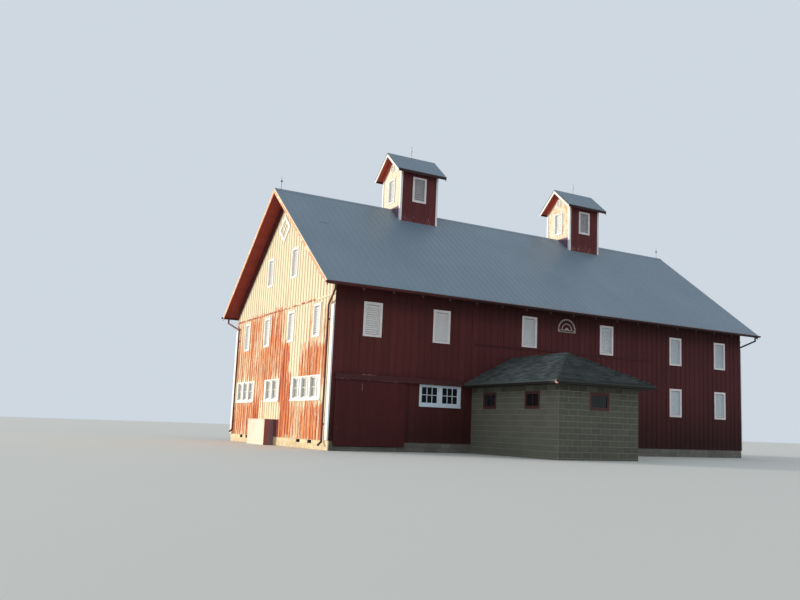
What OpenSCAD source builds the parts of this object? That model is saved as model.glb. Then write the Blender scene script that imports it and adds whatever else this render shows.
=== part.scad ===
// Timber barn with a gabled metal roof, two roof cupolas, louvred vents,
// a sliding stable door and a small block milk house built against its front.
// X runs along the ridge, the long front wall faces -Y, and Z = 0 is the lowest ground.

/* [Barn] */
// Length along the ridge, over the siding
barn_l = 21300; // [19500:100:26000]
// Width across the gable, over the siding
barn_w = 12000; // [11000:100:14000]
// Thickness of a wall with its studs and siding
wall_t = 140; // [110:5:200]
// Height of the roof's top surface at its lower edge
eave_h = 5930; // [5860:10:6300]
// Height of the roof's top surface at the ridge
ridge_h = 10810; // [10500:10:11600]

/* [Foundation and floors] */
// Height of the foundation above the lowest ground
foundation_h = 350; // [250:10:500]
// Thickness of the foundation walls
foundation_t = 300; // [250:10:400]
// How far the foundation stands back behind the siding
foundation_setback = 20; // [10:5:60]
// Height of the ground floor above the lowest ground
floor_h = 160; // [100:10:220]
// Width of a vent through the foundation
vent_w = 400; // [250:10:500]
// Height of a vent through the foundation
vent_h = 120; // [60:10:140]
// Distance from the foundation's top down to a vent
vent_drop = 20; // [10:5:40]
// Height of the upper side of the loft floor
loft_h = 3390; // [3350:10:3600]
// Thickness of the loft floor's planks
plank_t = 40; // [30:5:60]
// Depth of a loft joist
joist_d = 180; // [140:10:220]
// Width of a loft joist
joist_w = 60; // [40:5:80]
// Spacing of the loft joists
joist_step = 600; // [450:50:800]
// Side of the square loft beams and posts
beam_s = 240; // [180:10:280]
// Distance of each row of posts from the middle of the barn
post_row = 1950; // [1500:50:2500]
// Posts in a row
post_count = 4; // [3:1:6]

/* [Roof] */
// How far the eaves reach past the long walls
eave_out = 585; // [400:5:800]
// How far the roof reaches past the gables
rake_out = 600; // [400:10:800]
// Thickness of the roof boards and metal, square to the slope
deck_t = 50; // [30:5:70]
// Depth of a rafter, square to the slope
rafter_d = 140; // [100:5:180]
// Width of a rafter
rafter_w = 60; // [40:5:80]
// Spacing of the rafters
rafter_step = 1200; // [900:50:1400]
// Distance of the first rafter's middle from the near gable
rafter_start = 850; // [500:10:1100]
// Depth of the rake boards, square to the slope
rake_board_d = 125; // [80:5:220]
// Thickness of the rake boards
rake_board_t = 40; // [25:5:60]
// Height of the eave fascia
fascia_h = 65; // [50:5:150]
// Thickness of the eave fascia
fascia_t = 25; // [18:1:40]
// How far the ridge cap reaches down each slope, level
ridge_cap_reach = 170; // [100:10:250]
// Thickness of the ridge cap
ridge_cap_t = 12; // [8:1:20]
// Width of a gutter
gutter_w = 120; // [90:5:150]
// Depth of a gutter
gutter_d = 75; // [60:5:130]
// Wall of a gutter
gutter_t = 6; // [4:1:10]
// How far a gutter reaches past the end of the roof
gutter_past = 60; // [20:5:120]
// Radius of a downspout
spout_r = 38; // [30:1:50]
// How far a downspout's elbows stand out from its pipes
spout_elbow = 4; // [2:1:8]
// Gap between a downspout and the siding
spout_gap = 30; // [25:1:45]
// Distance of a downspout from the corner of the barn
spout_in = 450; // [380:10:600]
// Height of a front downspout's foot above the lowest ground
front_spout_foot = 160; // [80:5:500]
// Height of a back downspout's foot above the lowest ground
back_spout_foot = 420; // [80:5:500]
// Height and reach of the shoe at a downspout's foot
spout_shoe = 130; // [120:5:220]
// Length of a downspout's pipe down from its gutter to the first elbow
spout_drop = 200; // [100:10:300]
// Height that a downspout loses from there to the wall
spout_fall = 400; // [300:10:900]
// Height of a downspout's straps
spout_strap_h = 40; // [25:5:60]
// How far a strap reaches past its pipe on either side
spout_strap_past = 12; // [8:1:20]
// Distance of the straps from the siding's lower edge and from the upper elbow
spout_strap_in = 550; // [400:10:900]
// Distance from the eave's height down to the gutter's top
gutter_drop = 35; // [20:5:60]

/* [Trim] */
// Width of a corner board on the gables
corner_board_w = 240; // [180:10:360]
// Thickness of a corner board
corner_board_t = 50; // [25:5:60]
// Distance from the eave's height down to the corner boards' upper end
corner_board_drop = 720; // [450:10:900]
// Gap between the upper vents and the drip board across the gables
belt_gap = 132; // [60:2:250]
// Gap between the two middle vents and the drip board under them
splice_gap = 44; // [20:2:120]
// Length of that board
splice_l = 9400; // [6000:50:11000]
// Height of a drip board
drip_w = 60; // [40:5:90]
// Thickness of a drip board
drip_t = 30; // [20:1:40]
// Half of the width of the diamond on the gables
diamond_w = 700; // [500:10:800]
// Half of the height of the diamond
diamond_h = 620; // [500:10:700]
// Distance from the ridge down to the diamond's middle
diamond_drop = 1710; // [1400:10:1900]
// Width of the diamond's frame
diamond_frame = 150; // [80:5:180]
// Width of the bars that cross in the diamond
diamond_bar = 45; // [30:5:70]
// Thickness of the diamond
diamond_t = 35; // [25:1:50]
// Radius of the half-round panel on the front wall
fan_r = 460; // [350:10:500]
// Distance of the half-round panel's middle from the middle of the front wall, toward the near end
fan_x = 140; // [0:10:400]
// Distance from the eave's height down to the half-round panel's top
fan_drop = 260; // [150:10:600]
// Thickness of the half-round panel
fan_t = 30; // [20:1:45]
// Width of the half-round panel's outer band
fan_band = 35; // [25:5:70]
// Height of the bar under it
fan_bar_h = 110; // [100:5:200]
// Side of the square openings in that bar
fan_hole = 60; // [40:5:80]
// Outer radius of its inner band
fan_inner_r = 270; // [220:5:300]
// Width of its inner band
fan_inner_band = 35; // [25:5:60]
// Radius of its hub
fan_hub_r = 90; // [60:5:140]
// Blocks on the inside of its outer band
fan_blocks = 9; // [5:1:11]
// Width and reach of such a block
fan_block_w = 40; // [30:5:60]

/* [Louvred vents] */
// Width over the casing
louvre_w = 750; // [650:10:850]
// Height over the casing
louvre_h = 1277; // [1000:1:1400]
// Width of the casing boards
louvre_casing = 90; // [60:5:120]
// How far the casing stands out from the siding
casing_t = 25; // [18:1:35]
// Thickness of the lining in the wall
lining_t = 20; // [12:1:30]
// Thickness of a slat
slat_t = 12; // [8:1:20]
// Width of a slat
slat_w = 100; // [80:5:130]
// Spacing of the slats
slat_step = 80; // [60:1:140]
// Slope of a slat from level
slat_angle = 55; // [30:1:65]
// How far the slats stand back behind the siding
slat_setback = 30; // [0:1:40]
// Thickness of the board that closes a vent behind its slats
backing_t = 12; // [8:1:20]
// Distance of the middle pair of vents in a long wall from the middle of the barn
louvre_inner_x = 2070; // [1500:10:2500]
// Distance of the second pair from the corners of the barn
louvre_second_in = 4420; // [3900:10:4700]
// Distance of the outer pair from the corners of the barn
louvre_outer_in = 1500; // [1300:10:1900]
// Distance from the eave's height down to the top of the upper vents
louvre_drop = 517; // [400:1:800]
// How much higher the two middle vents stand
louvre_centre_up = 173; // [0:1:200]
// Height of the lower edge of the ground floor vents
louvre_lower_z = 1786; // [1600:1:1800]
// Distances of the gable's vents from its middle, inner pair
gable_inner_y = 1500; // [1200:10:1900]
// Outer pair
gable_outer_y = 4310; // [3900:10:4600]
// Distance from the ridge down to the top of the vents under the peak
gable_top_drop = 2763; // [2600:1:3100]

/* [Windows] */
// Width of the gables' group of three windows next to the front corner, over the casing
left_group_w = 3120; // [2900:10:3300]
// Its distance from the corner
left_group_in = 950; // [700:10:1200]
// Spacing of its sashes
left_sash_step = 930; // [850:5:960]
// Width of the gables' middle group of two windows
middle_group_w = 1900; // [1750:10:2000]
// Distance of the middle group from the middle of the gable
middle_group_y = 410; // [200:10:600]
// Width of the gables' group of three windows next to the back corner
right_group_w = 2580; // [2500:10:2750]
// Its distance from the corner
right_group_in = 650; // [600:10:900]
// Spacing of the sashes of these two groups
right_sash_step = 800; // [760:5:820]
// Width of a double window in the long walls, over the casing
wall_group_w = 1810; // [1750:10:1850]
// Spacing of its sashes
wall_sash_step = 890; // [820:5:900]
// Height of the windows in the gables, over the casing
gable_window_h = 940; // [800:10:1100]
// Height of the windows in the long walls, over the casing
wall_window_h = 830; // [700:10:840]
// Height of the lower edge of the gable windows
gable_window_z = 1770; // [1500:10:1900]
// Gap between the windows in the long walls and the door track's underside
wall_window_gap = 10; // [5:5:60]
// Casing above a sash
casing_top = 50; // [30:5:80]
// Casing and sill under a sash
casing_bottom = 120; // [90:5:160]
// Casing between neighbouring sashes
mullion_w = 150; // [100:5:180]
// Height of a window sill's nose
sill_h = 55; // [40:5:80]
// How far a sill stands out from the siding
sill_out = 45; // [30:1:50]
// Width of a sash's frame
sash_w = 40; // [30:1:55]
// Thickness of a sash
sash_t = 40; // [30:1:50]
// How far a sash stands back behind the siding
sash_setback = 30; // [10:5:60]
// Width of a glazing bar
bar_w = 24; // [16:1:32]
// Thickness of a pane
glass_t = 4; // [3:1:8]
// Gap between the front window's casing and the end of the door's track
front_window_gap = 20; // [10:5:300]
// Spacing of the windows along the back wall
back_window_step = 3845; // [3000:5:4200]

/* [Sliding door] */
// Left edge of the doorway from the near corner
doorway_x = 300; // [300:10:400]
// Width of the doorway
doorway_w = 2400; // [2000:10:2450]
// Height of the doorway's top
doorway_top = 2450; // [2300:10:2480]
// How far the door laps over the wall on its left
door_lap_left = 150; // [80:10:200]
// How far the door laps over the wall on its right
door_lap_right = 250; // [100:10:300]
// Height of the door's lower edge
door_bottom = 180; // [170:5:240]
// How far the door laps over the wall above the doorway
door_lap_top = 70; // [50:5:90]
// Thickness of the door's boards
door_board_t = 22; // [18:1:30]
// Thickness of the ledges and stiles behind the boards
door_ledge_t = 18; // [15:1:25]
// Width of the ledges and stiles
door_ledge_w = 150; // [100:10:200]
// Thickness of the timber that carries the track
ledger_t = 50; // [48:1:60]
// Height of the track's hood and of the timber behind it
hood_h = 180; // [150:5:220]
// Thickness of the hood's boards
hood_t = 20; // [15:1:25]
// How far the track runs past the open door
track_past = 40; // [20:5:40]
// Width of the rail
rail_w = 70; // [66:1:80]
// Height of the rail
rail_h = 62; // [60:1:70]
// Wall of the rail
rail_t = 4; // [3:1:5]
// Slot along the rail's underside
rail_slot = 20; // [18:1:22]
// Radius of a door roller
roller_r = 22; // [18:1:24]
// Width of a door roller
roller_w = 13; // [9:1:14]
// Thickness of a hanger's strap
strap_t = 8; // [6:1:8]
// Width of a hanger's strap
strap_w = 60; // [40:5:80]
// Length of a hanger's foot plate on the door
hanger_plate_l = 160; // [120:5:200]
// Radius of a roller's axle
axle_r = 6; // [4:1:8]
// Clearance between the door's upper edge and the track's hood
hood_gap = 10; // [6:1:20]
// Height of the rail above the hood's lower edge
rail_up = 30; // [20:1:40]
// Distance of the hangers from the door's sides
hanger_in = 450; // [300:10:700]
// Running clearance of the rollers over the rail
roller_gap = 0.3; // [0.2:0.1:0.5]

/* [Cupolas] */
// Distance of the near cupola's middle from the middle of the barn
near_cupola_x = 4760; // [4000:10:6000]
// Distance of the far cupola's middle from the middle of the barn
far_cupola_x = 4940; // [4000:10:6000]
// Side of the square shaft
cupola_s = 1880; // [1700:10:2000]
// Thickness of the shaft's walls
cupola_t = 100; // [80:5:120]
// Height of the cupola roof's lower edge above the barn's ridge
cupola_up = 1630; // [1400:5:1800]
// Height of the cupola's ridge above its roof's lower edge
cupola_rise = 1020; // [950:5:1300]
// How far the cupola roof reaches past the shaft at its eaves
cupola_out = 285; // [200:5:350]
// How far the cupola roof reaches past the shaft at its gables
cupola_gable_out = 310; // [200:5:420]
// Thickness of the cupola roof, square to its slope
cupola_deck_t = 40; // [30:1:50]
// Height of the vents' lower edge above the barn's ridge
cupola_vent_up = 260; // [120:5:280]
// Distance from the cupola roof's lower edge down to the vents' top
cupola_vent_drop = 195; // [120:5:250]
// Width of the vents in the cupolas over their casing
cupola_vent_w = 700; // [650:10:850]
// Width of a cupola's corner boards on its gables
cupola_board_w = 110; // [80:5:240]
// Width of a cupola's corner boards on its other sides
cupola_side_board_w = 65; // [45:5:120]
// Gap between a cupola's corner boards and the roofs at their ends
cupola_board_gap = 5; // [2:1:15]
// Thickness of a cupola's corner boards and rake boards
cupola_board_t = 25; // [18:1:35]
// Depth of a cupola's rake boards, square to the slope
cupola_rake_d = 110; // [80:5:140]
// Height of the fascia at a cupola roof's eaves
cupola_fascia_h = 75; // [50:5:100]
// Outer radius of the ring on a cupola's gable
ring_r = 190; // [140:5:200]
// Width of the ring
ring_w = 45; // [30:1:60]
// Height of the ring's middle above the cupola roof's lower edge
ring_up = 305; // [250:5:340]
// Height of a lightning rod
rod_h = 520; // [400:10:700]
// Radius of a lightning rod
rod_r = 9; // [6:1:14]
// Radius of the ball on a lightning rod
rod_ball_r = 48; // [35:1:60]
// Distance of the rods on the barn's ridge from the ends of the roof
rod_in = 300; // [200:10:500]
// Height of a lightning rod's foot
rod_foot = 30; // [20:1:50]
// Length of its point
rod_tip = 40; // [25:1:60]
// Radius at the end of its point
rod_tip_r = 1; // [0.5:0.5:3]
// Height of the ball above the foot of the rod
rod_ball_up = 343; // [250:1:380]

/* [Milk house] */
// Gap between the end of the door's track and the milk house's eave
milk_gap = 60; // [20:5:400]
// Width of the milk house
milk_w = 3550; // [3200:10:4000]
// How far the milk house stands out from the barn
milk_d = 5440; // [4800:10:6000]
// Thickness of its block walls
milk_wall_t = 200; // [150:10:250]
// Height of its walls
milk_wall_h = 2500; // [2480:10:2510]
// Height of its roof's top surface at the eave above the walls
milk_eave_up = 130; // [115:5:160]
// Height of its ridge above its eave
milk_rise = 1164; // [1000:1:1300]
// How far its eaves reach past the walls
milk_out = 450; // [300:5:500]
// Thickness of its roof, measured upright
milk_deck_t = 50; // [40:5:70]
// Thickness of its fascia and soffit boards
milk_board_t = 25; // [18:1:30]
// Width of its windows over their frames
milk_window_w = 900; // [750:10:1000]
// Height of its windows over their frames
milk_window_h = 630; // [500:10:700]
// Distance from the top of its walls down to its windows
milk_window_drop = 185; // [120:5:400]
// Width of its window frames
milk_frame_w = 110; // [80:5:130]
// Thickness of its window frames
milk_frame_t = 60; // [50:1:80]
// Thickness of the bar in its windows
milk_bar_t = 10; // [6:1:20]
// Distance of its first side window's middle from the barn's wall
milk_window_y1 = 1250; // [900:10:1500]
// Distance of its second side window's middle from the barn's wall
milk_window_y2 = 3940; // [3000:10:4200]

/* [Bin at the gable] */
// Width of the bin
bin_w = 2200; // [1500:10:2500]
// How far the bin stands out from the gable
bin_d = 400; // [300:10:700]
// Height of the bin with its lid
bin_h = 1050; // [800:10:1100]
// Distance of the bin's middle from the middle of the gable
bin_y = 950; // [-500:10:1500]
// Thickness of the bin's walls
bin_t = 40; // [25:5:60]
// Thickness of the bin's lid
lid_t = 40; // [25:5:60]
// How far the lid reaches past the bin's walls
lid_out = 20; // [0:5:40]

/* [Hidden] */
$fn = 48;

end_x = barn_l / 2;
side_y = barn_w / 2;
roof_x = end_x + rake_out;
roof_y = side_y + eave_out;
roof_slope = (ridge_h - eave_h) / roof_y;
roof_angle = atan(roof_slope);
deck_drop = deck_t / cos(roof_angle);
rafter_drop = rafter_d / cos(roof_angle);
rake_drop = rake_board_d / cos(roof_angle);
// How far a cut runs past what it cuts, and how deep the rafters are housed in the boards
past = 1;
housing = 2;
// Clearance between pieces that are cut to the slope of a roof
seat = 0.3;

rafter_count = floor((barn_l - rafter_start - wall_t - rafter_w) / rafter_step) + 1;
rafter_xs = [for (i = [0 : rafter_count - 1]) -end_x + rafter_start + i * rafter_step];

louvre_second_x = end_x - louvre_second_in;
louvre_outer_x = end_x - louvre_outer_in;
louvre_upper_z = eave_h - louvre_drop - louvre_h;
louvre_centre_z = louvre_upper_z + louvre_centre_up;
gable_top_z = ridge_h - gable_top_drop - louvre_h;
belt_z = louvre_upper_z + louvre_h + belt_gap;
splice_z = louvre_centre_z - splice_gap - drip_w;

doorway_x0 = -end_x + doorway_x;
doorway_x1 = doorway_x0 + doorway_w;
door_x0 = doorway_x0 - door_lap_left;
door_w = doorway_w + door_lap_left + door_lap_right;
door_top = doorway_top + door_lap_top;
door_travel = doorway_w;
door_t = door_board_t + door_ledge_t;
rail_y = -side_y - ledger_t - rail_w / 2;
hood_z = door_top + hood_gap;
rail_z = hood_z + rail_up;
track_x0 = door_x0 - track_past;
track_x1 = door_x0 + door_w + door_travel + track_past;
wall_window_z = hood_z - wall_window_gap - wall_window_h;

cupola_eave_h = ridge_h + cupola_up;
cupola_ridge_h = cupola_eave_h + cupola_rise;
cupola_vent_z = ridge_h + cupola_vent_up;
cupola_vent_h = cupola_up - cupola_vent_up - cupola_vent_drop;
cupola_half = cupola_s / 2;
cupola_roof_x = cupola_half + cupola_gable_out;
cupola_roof_y = cupola_half + cupola_out;
cupola_slope = cupola_rise / cupola_roof_y;
cupola_drop = cupola_deck_t / cos(atan(cupola_slope));
cupola_rake_drop = cupola_rake_d / cos(atan(cupola_slope));
cupola_hole = cupola_half - cupola_t;

milk_x0 = track_x1 + milk_gap + milk_out;
milk_x1 = milk_x0 + milk_w;
milk_mid = milk_x0 + milk_w / 2;
milk_y1 = -side_y - milk_d;
milk_eave_h = milk_wall_h + milk_eave_up;
milk_ridge_h = milk_eave_h + milk_rise;
milk_slope = milk_rise / (milk_w / 2 + milk_out);
milk_window_z = milk_wall_h - milk_window_drop - milk_window_h;

function roof_top(y) = ridge_h - roof_slope * abs(y);
function deck_under(y) = roof_top(y) - deck_drop;
function rafter_under(y) = deck_under(y) - rafter_drop;
function cupola_top(y) = cupola_ridge_h - cupola_slope * abs(y);
function cupola_under(y) = cupola_top(y) - cupola_drop;

red = [0.36, 0.08, 0.07];
peeling = [0.78, 0.58, 0.42];
white = [0.88, 0.88, 0.86];
metal = [0.45, 0.50, 0.54];
stone = [0.74, 0.70, 0.60];
timber = [0.50, 0.38, 0.27];
block_grey = [0.55, 0.55, 0.52];

// A box from its lowest to its highest corner
module block(low, high) {
    translate(low) cube(high - low);
}

// Carries a flat shape drawn across the barn, Y and Z, along X
module along_x(x0, x1) {
    translate([x0, 0, 0]) rotate([90, 0, 90]) linear_extrude(x1 - x0) children();
}

// Carries a flat shape drawn along a wall, X and Z, back from the wall's face at Y = 0
module into_wall(y0, y1) {
    translate([0, y1, 0]) rotate([90, 0, 0]) linear_extrude(y1 - y0) children();
}

module both_sides() {
    children();
    mirror([0, 1, 0]) children();
}

module both_ends() {
    children();
    mirror([1, 0, 0]) children();
}

// Places a piece that is drawn facing -Y on each wall
module on_front(x, z) { translate([x, -side_y, z]) children(); }
module on_back(x, z) { translate([x, side_y, z]) rotate(180) children(); }
module on_near_gable(y, z) { translate([-end_x, y, z]) rotate(-90) children(); }
module on_far_gable(y, z) { translate([end_x, y, z]) rotate(90) children(); }

// Foundation

module foundation_length(x0, x1, top) {
    y0 = -side_y + foundation_setback;
    block([x0, y0, 0], [x1, y0 + foundation_t, top]);
}

module foundation_long_walls() {
    x1 = end_x - foundation_setback;
    color(stone) {
        foundation_length(doorway_x1, x1, foundation_h);
        mirror([0, 1, 0]) foundation_length(-x1, x1, foundation_h);
    }
}

module foundation_corner_pier() {
    color(stone) foundation_length(-end_x + foundation_setback, doorway_x0, foundation_h);
}

module door_threshold() {
    color(stone) foundation_length(doorway_x0, doorway_x1, floor_h);
}

vent_ys = [-4200, -3000, 3450, 4300];

module foundation_gable_walls() {
    x0 = -end_x + foundation_setback;
    y = side_y - foundation_setback - foundation_t;
    vent_top = foundation_h - vent_drop;
    color(stone) both_ends() difference() {
        block([x0, -y, 0], [x0 + foundation_t, y, foundation_h]);
        for (v = vent_ys)
            block([x0 - past, v - vent_w / 2, vent_top - vent_h],
                  [x0 + foundation_t + past, v + vent_w / 2, vent_top]);
    }
}

module ground_floor() {
    x = end_x - foundation_setback - foundation_t;
    y = side_y - foundation_setback - foundation_t;
    color("gray") block([-x, -y, 0], [x, y, floor_h]);
}

// Loft

beam_top = loft_h - plank_t - joist_d;
inner_x = end_x - wall_t;
inner_y = side_y - wall_t;

module posts() {
    bay = 2 * inner_x / (post_count + 1);
    half = beam_s / 2;
    color(timber) for (i = [1 : post_count], side = [-1, 1])
        translate([-inner_x + i * bay, side * post_row, 0])
            block([-half, -half, floor_h], [half, half, beam_top - beam_s]);
}

module loft_beams() {
    half = beam_s / 2;
    color(timber) both_sides()
        block([-inner_x, post_row - half, beam_top - beam_s], [inner_x, post_row + half, beam_top]);
}

module loft_floor() {
    joists = floor((2 * inner_x - joist_w) / joist_step);
    first = -joists * joist_step / 2;
    color(timber) {
        block([-inner_x, -inner_y, loft_h - plank_t], [inner_x, inner_y, loft_h]);
        for (i = [0 : joists])
            translate([first + i * joist_step, 0, 0])
                block([-joist_w / 2, -inner_y, beam_top], [joist_w / 2, inner_y, loft_h - plank_t]);
    }
}

// Walls

// Rafters of the front slope, from the fascia to the ridge, housed a little into the boards
module rafters() {
    tail = roof_y - fascia_t;
    for (x = rafter_xs)
        along_x(x - rafter_w / 2, x + rafter_w / 2)
            polygon([[-tail, rafter_under(tail)], [-tail, deck_under(tail) + housing],
                     [0, deck_under(0) + housing], [0, rafter_under(0)]]);
}

// A length of the front wall up to the roof boards, notched over the rafters
module front_wall_length(x0, x1, bottom) {
    difference() {
        along_x(x0, x1)
            polygon([[-side_y, bottom], [-inner_y, bottom],
                     [-inner_y, deck_under(inner_y)], [-side_y, deck_under(side_y)]]);
        rafters();
    }
}

// Places of the vents and windows on the front wall
module at_front_vents() {
    for (side = [-1, 1]) {
        on_front(side * louvre_outer_x, louvre_upper_z) children();
        on_front(side * louvre_second_x, louvre_upper_z) children();
        on_front(side * louvre_inner_x, louvre_centre_z) children();
    }
    on_front(louvre_second_x, louvre_lower_z) children();
    on_front(louvre_outer_x, louvre_lower_z) children();
}

module at_back_vents() {
    for (side = [-1, 1]) {
        on_back(side * louvre_outer_x, louvre_upper_z) children();
        on_back(side * louvre_second_x, louvre_upper_z) children();
        on_back(side * louvre_inner_x, louvre_centre_z) children();
    }
}

module at_gable_vents() {
    for (side = [-1, 1]) {
        for (y = [side * gable_inner_y, side * gable_outer_y]) {
            on_near_gable(y, louvre_upper_z) children();
            on_far_gable(y, louvre_upper_z) children();
        }
        on_near_gable(side * gable_inner_y, gable_top_z) children();
        on_far_gable(side * gable_inner_y, gable_top_z) children();
    }
}

// Each group of gable windows: middle, width over the casing, sashes, spacing of the sashes
gable_groups = [
    [-side_y + left_group_in + left_group_w / 2, left_group_w, 3, left_sash_step],
    [middle_group_y, middle_group_w, 2, right_sash_step],
    [side_y - right_group_in - right_group_w / 2, right_group_w, 3, right_sash_step]];
// The front wall's double window, repeated along the back wall
wall_group = [0, wall_group_w, 2, wall_sash_step];
front_window_x = track_x1 - front_window_gap - wall_group_w / 2;
back_window_xs = [for (i = [-2 : 2]) i * back_window_step];

// Puts a piece for one sash at each sash of a group
module at_sashes(group) {
    for (i = [0 : group[2] - 1])
        translate([(i - (group[2] - 1) / 2) * group[3], 0, 0]) children();
}

function sash_outer_w(group) = group[3] - mullion_w;
function sash_outer_h(h) = h - casing_top - casing_bottom;

// The outline of a sash, widened all round
module sash_outline(group, h, wider) {
    w = sash_outer_w(group) + 2 * wider;
    translate([-w / 2, casing_bottom - wider]) square([w, sash_outer_h(h) + 2 * wider]);
}

// The hole for one lined sash, drawn in the wall's face
module sash_hole(group, h) {
    into_wall(-past, wall_t + past) sash_outline(group, h, lining_t);
}

module louvre_hole(w, h, depth) {
    rim = louvre_casing - lining_t;
    into_wall(-past, depth + past) translate([-w / 2 + rim, rim]) square([w - 2 * rim, h - 2 * rim]);
}

module front_wall() {
    color(red) difference() {
        front_wall_length(doorway_x1, end_x, foundation_h);
        at_front_vents() louvre_hole(louvre_w, louvre_h, wall_t);
        on_front(front_window_x, wall_window_z)
            at_sashes(wall_group) sash_hole(wall_group, wall_window_h);
    }
}

module front_wall_over_door() {
    color(red) difference() {
        front_wall_length(doorway_x0, doorway_x1, doorway_top);
        at_front_vents() louvre_hole(louvre_w, louvre_h, wall_t);
    }
}

module front_wall_corner() {
    color(red) front_wall_length(-end_x, doorway_x0, foundation_h);
}

module back_wall() {
    color(red) difference() {
        mirror([0, 1, 0]) front_wall_length(-end_x, end_x, foundation_h);
        at_back_vents() louvre_hole(louvre_w, louvre_h, wall_t);
        for (x = back_window_xs) on_back(x, wall_window_z)
            at_sashes(wall_group) sash_hole(wall_group, wall_window_h);
    }
}

module gable_wall(x0) {
    along_x(x0, x0 + wall_t)
        polygon([[-inner_y, foundation_h], [inner_y, foundation_h], [inner_y, deck_under(inner_y)],
                 [0, deck_under(0)], [-inner_y, deck_under(inner_y)]]);
}

module gable_holes() {
    at_gable_vents() louvre_hole(louvre_w, louvre_h, wall_t);
    for (g = gable_groups) {
        on_near_gable(g[0], gable_window_z)
            at_sashes(g) sash_hole(g, gable_window_h);
        on_far_gable(g[0], gable_window_z)
            at_sashes(g) sash_hole(g, gable_window_h);
    }
}

module near_gable_wall() {
    color(peeling) difference() {
        gable_wall(-end_x);
        gable_holes();
    }
}

module far_gable_wall() {
    color(red) difference() {
        gable_wall(end_x - wall_t);
        gable_holes();
    }
}

// Roof

module at_cupolas() {
    for (x = [-near_cupola_x, far_cupola_x]) translate([x, 0, 0]) children();
}

module roof_slope_front() {
    difference() {
        along_x(-roof_x, roof_x)
            polygon([[-roof_y, deck_under(roof_y)], [-roof_y, eave_h], [0, ridge_h], [0, deck_under(0)]]);
        at_cupolas() block([-cupola_hole, -cupola_hole, deck_under(cupola_hole) - past],
                           [cupola_hole, cupola_hole, ridge_h + past]);
    }
    rafters();
}

module roof_front() {
    color(metal) roof_slope_front();
}

module roof_back() {
    color(metal) mirror([0, 1, 0]) roof_slope_front();
}

module ridge_cap() {
    y = ridge_cap_reach;
    color(metal) difference() {
        along_x(-roof_x, roof_x)
            translate([0, seat]) polygon([[-y, roof_top(y)], [0, ridge_h], [y, roof_top(y)],
                                          [y, roof_top(y) + ridge_cap_t], [0, ridge_h + ridge_cap_t],
                                          [-y, roof_top(y) + ridge_cap_t]]);
        at_cupolas() block([-cupola_half, -side_y, 0], [cupola_half, side_y, cupola_ridge_h]);
    }
}

module rake_board(x0, x1) {
    tail = roof_y - fascia_t;
    along_x(x0, x1)
        polygon([[-tail, deck_under(tail) - rake_drop], [-tail, deck_under(tail)],
                 [0, deck_under(0)], [0, deck_under(0) - rake_drop]]);
}

module rake_boards_front() {
    color(red) both_ends() rake_board(-roof_x, -roof_x + rake_board_t);
}

module rake_boards_back() {
    color(red) mirror([0, 1, 0]) both_ends() rake_board(-roof_x, -roof_x + rake_board_t);
}

module eave_fascias() {
    back = roof_y - fascia_t;
    color(red) both_sides() along_x(-roof_x, roof_x)
        polygon([[-roof_y, deck_under(roof_y) - fascia_h], [-roof_y, deck_under(roof_y)],
                 [-back, deck_under(back)], [-back, deck_under(roof_y) - fascia_h]]);
}

gutter_top = eave_h - gutter_drop;
gutter_bottom = gutter_top - gutter_d;
gutter_y = -roof_y - gutter_w;

// The trough's outer face leans out to an upright lip
lean = gutter_w / 4;

module gutter_outline() {
    polygon([[-roof_y, gutter_top], [-roof_y, gutter_bottom], [gutter_y + lean, gutter_bottom],
             [gutter_y, gutter_top - gutter_t], [gutter_y, gutter_top]]);
}

module gutter_section() {
    difference() {
        gutter_outline();
        polygon([[-roof_y - gutter_t, gutter_top + past], [-roof_y - gutter_t, gutter_bottom + gutter_t],
                 [gutter_y + lean + gutter_t / 2, gutter_bottom + gutter_t],
                 [gutter_y + gutter_t, gutter_top - gutter_t], [gutter_y + gutter_t, gutter_top + past]]);
    }
}

module gutters() {
    x = roof_x + gutter_past;
    color(red) both_sides() {
        along_x(-x, x) gutter_section();
        for (end = [-x, x - gutter_t])
            along_x(end, end + gutter_t) gutter_outline();
    }
}

// A round pipe between two points
module pipe(a, b, r) {
    d = b - a;
    translate(a) rotate([0, acos(d[2] / norm(d)), atan2(d[1], d[0])]) cylinder(h = norm(d), r = r);
}

module downspout(foot) {
    x = -end_x - spout_gap - spout_r;
    y = -side_y + spout_in;
    drop_x = -end_x - rake_out / 2;
    drop_y = -roof_y - gutter_w / 2;
    elbow_z = gutter_bottom - spout_drop;
    wall_z = elbow_z - spout_fall;
    route = [[drop_x, drop_y, elbow_z], [x, y, wall_z], [x, y, foot + spout_shoe],
             [x - spout_shoe, y, foot]];
    pipe([drop_x, drop_y, gutter_bottom], route[0], spout_r);
    for (i = [0 : len(route) - 2]) {
        pipe(route[i], route[i + 1], spout_r);
        translate(route[i]) sphere(spout_r + spout_elbow);
    }
    for (z = [foundation_h + spout_strap_in, wall_z - spout_strap_in])
        block([x, y - spout_r - spout_strap_past, z],
              [-end_x, y + spout_r + spout_strap_past, z + spout_strap_h]);
}

module downspouts() {
    color(red) both_ends() {
        downspout(front_spout_foot);
        mirror([0, 1, 0]) downspout(back_spout_foot);
    }
}

// Trim

module corner_boards() {
    color(white) both_ends() both_sides()
        block([-end_x - corner_board_t, -side_y, foundation_h],
              [-end_x, -side_y + corner_board_w, eave_h - corner_board_drop]);
}

module drip_boards() {
    y = min(side_y, (deck_under(0) - belt_z - drip_w) / roof_slope);
    color(red) {
        both_ends() block([-end_x - drip_t, -y, belt_z], [-end_x, y, belt_z + drip_w]);
        block([-splice_l / 2, -side_y - drip_t, splice_z], [splice_l / 2, -side_y, splice_z + drip_w]);
    }
}

module diamond_shape(w, h) {
    polygon([[-w, 0], [0, -h], [w, 0], [0, h]]);
}

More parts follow.
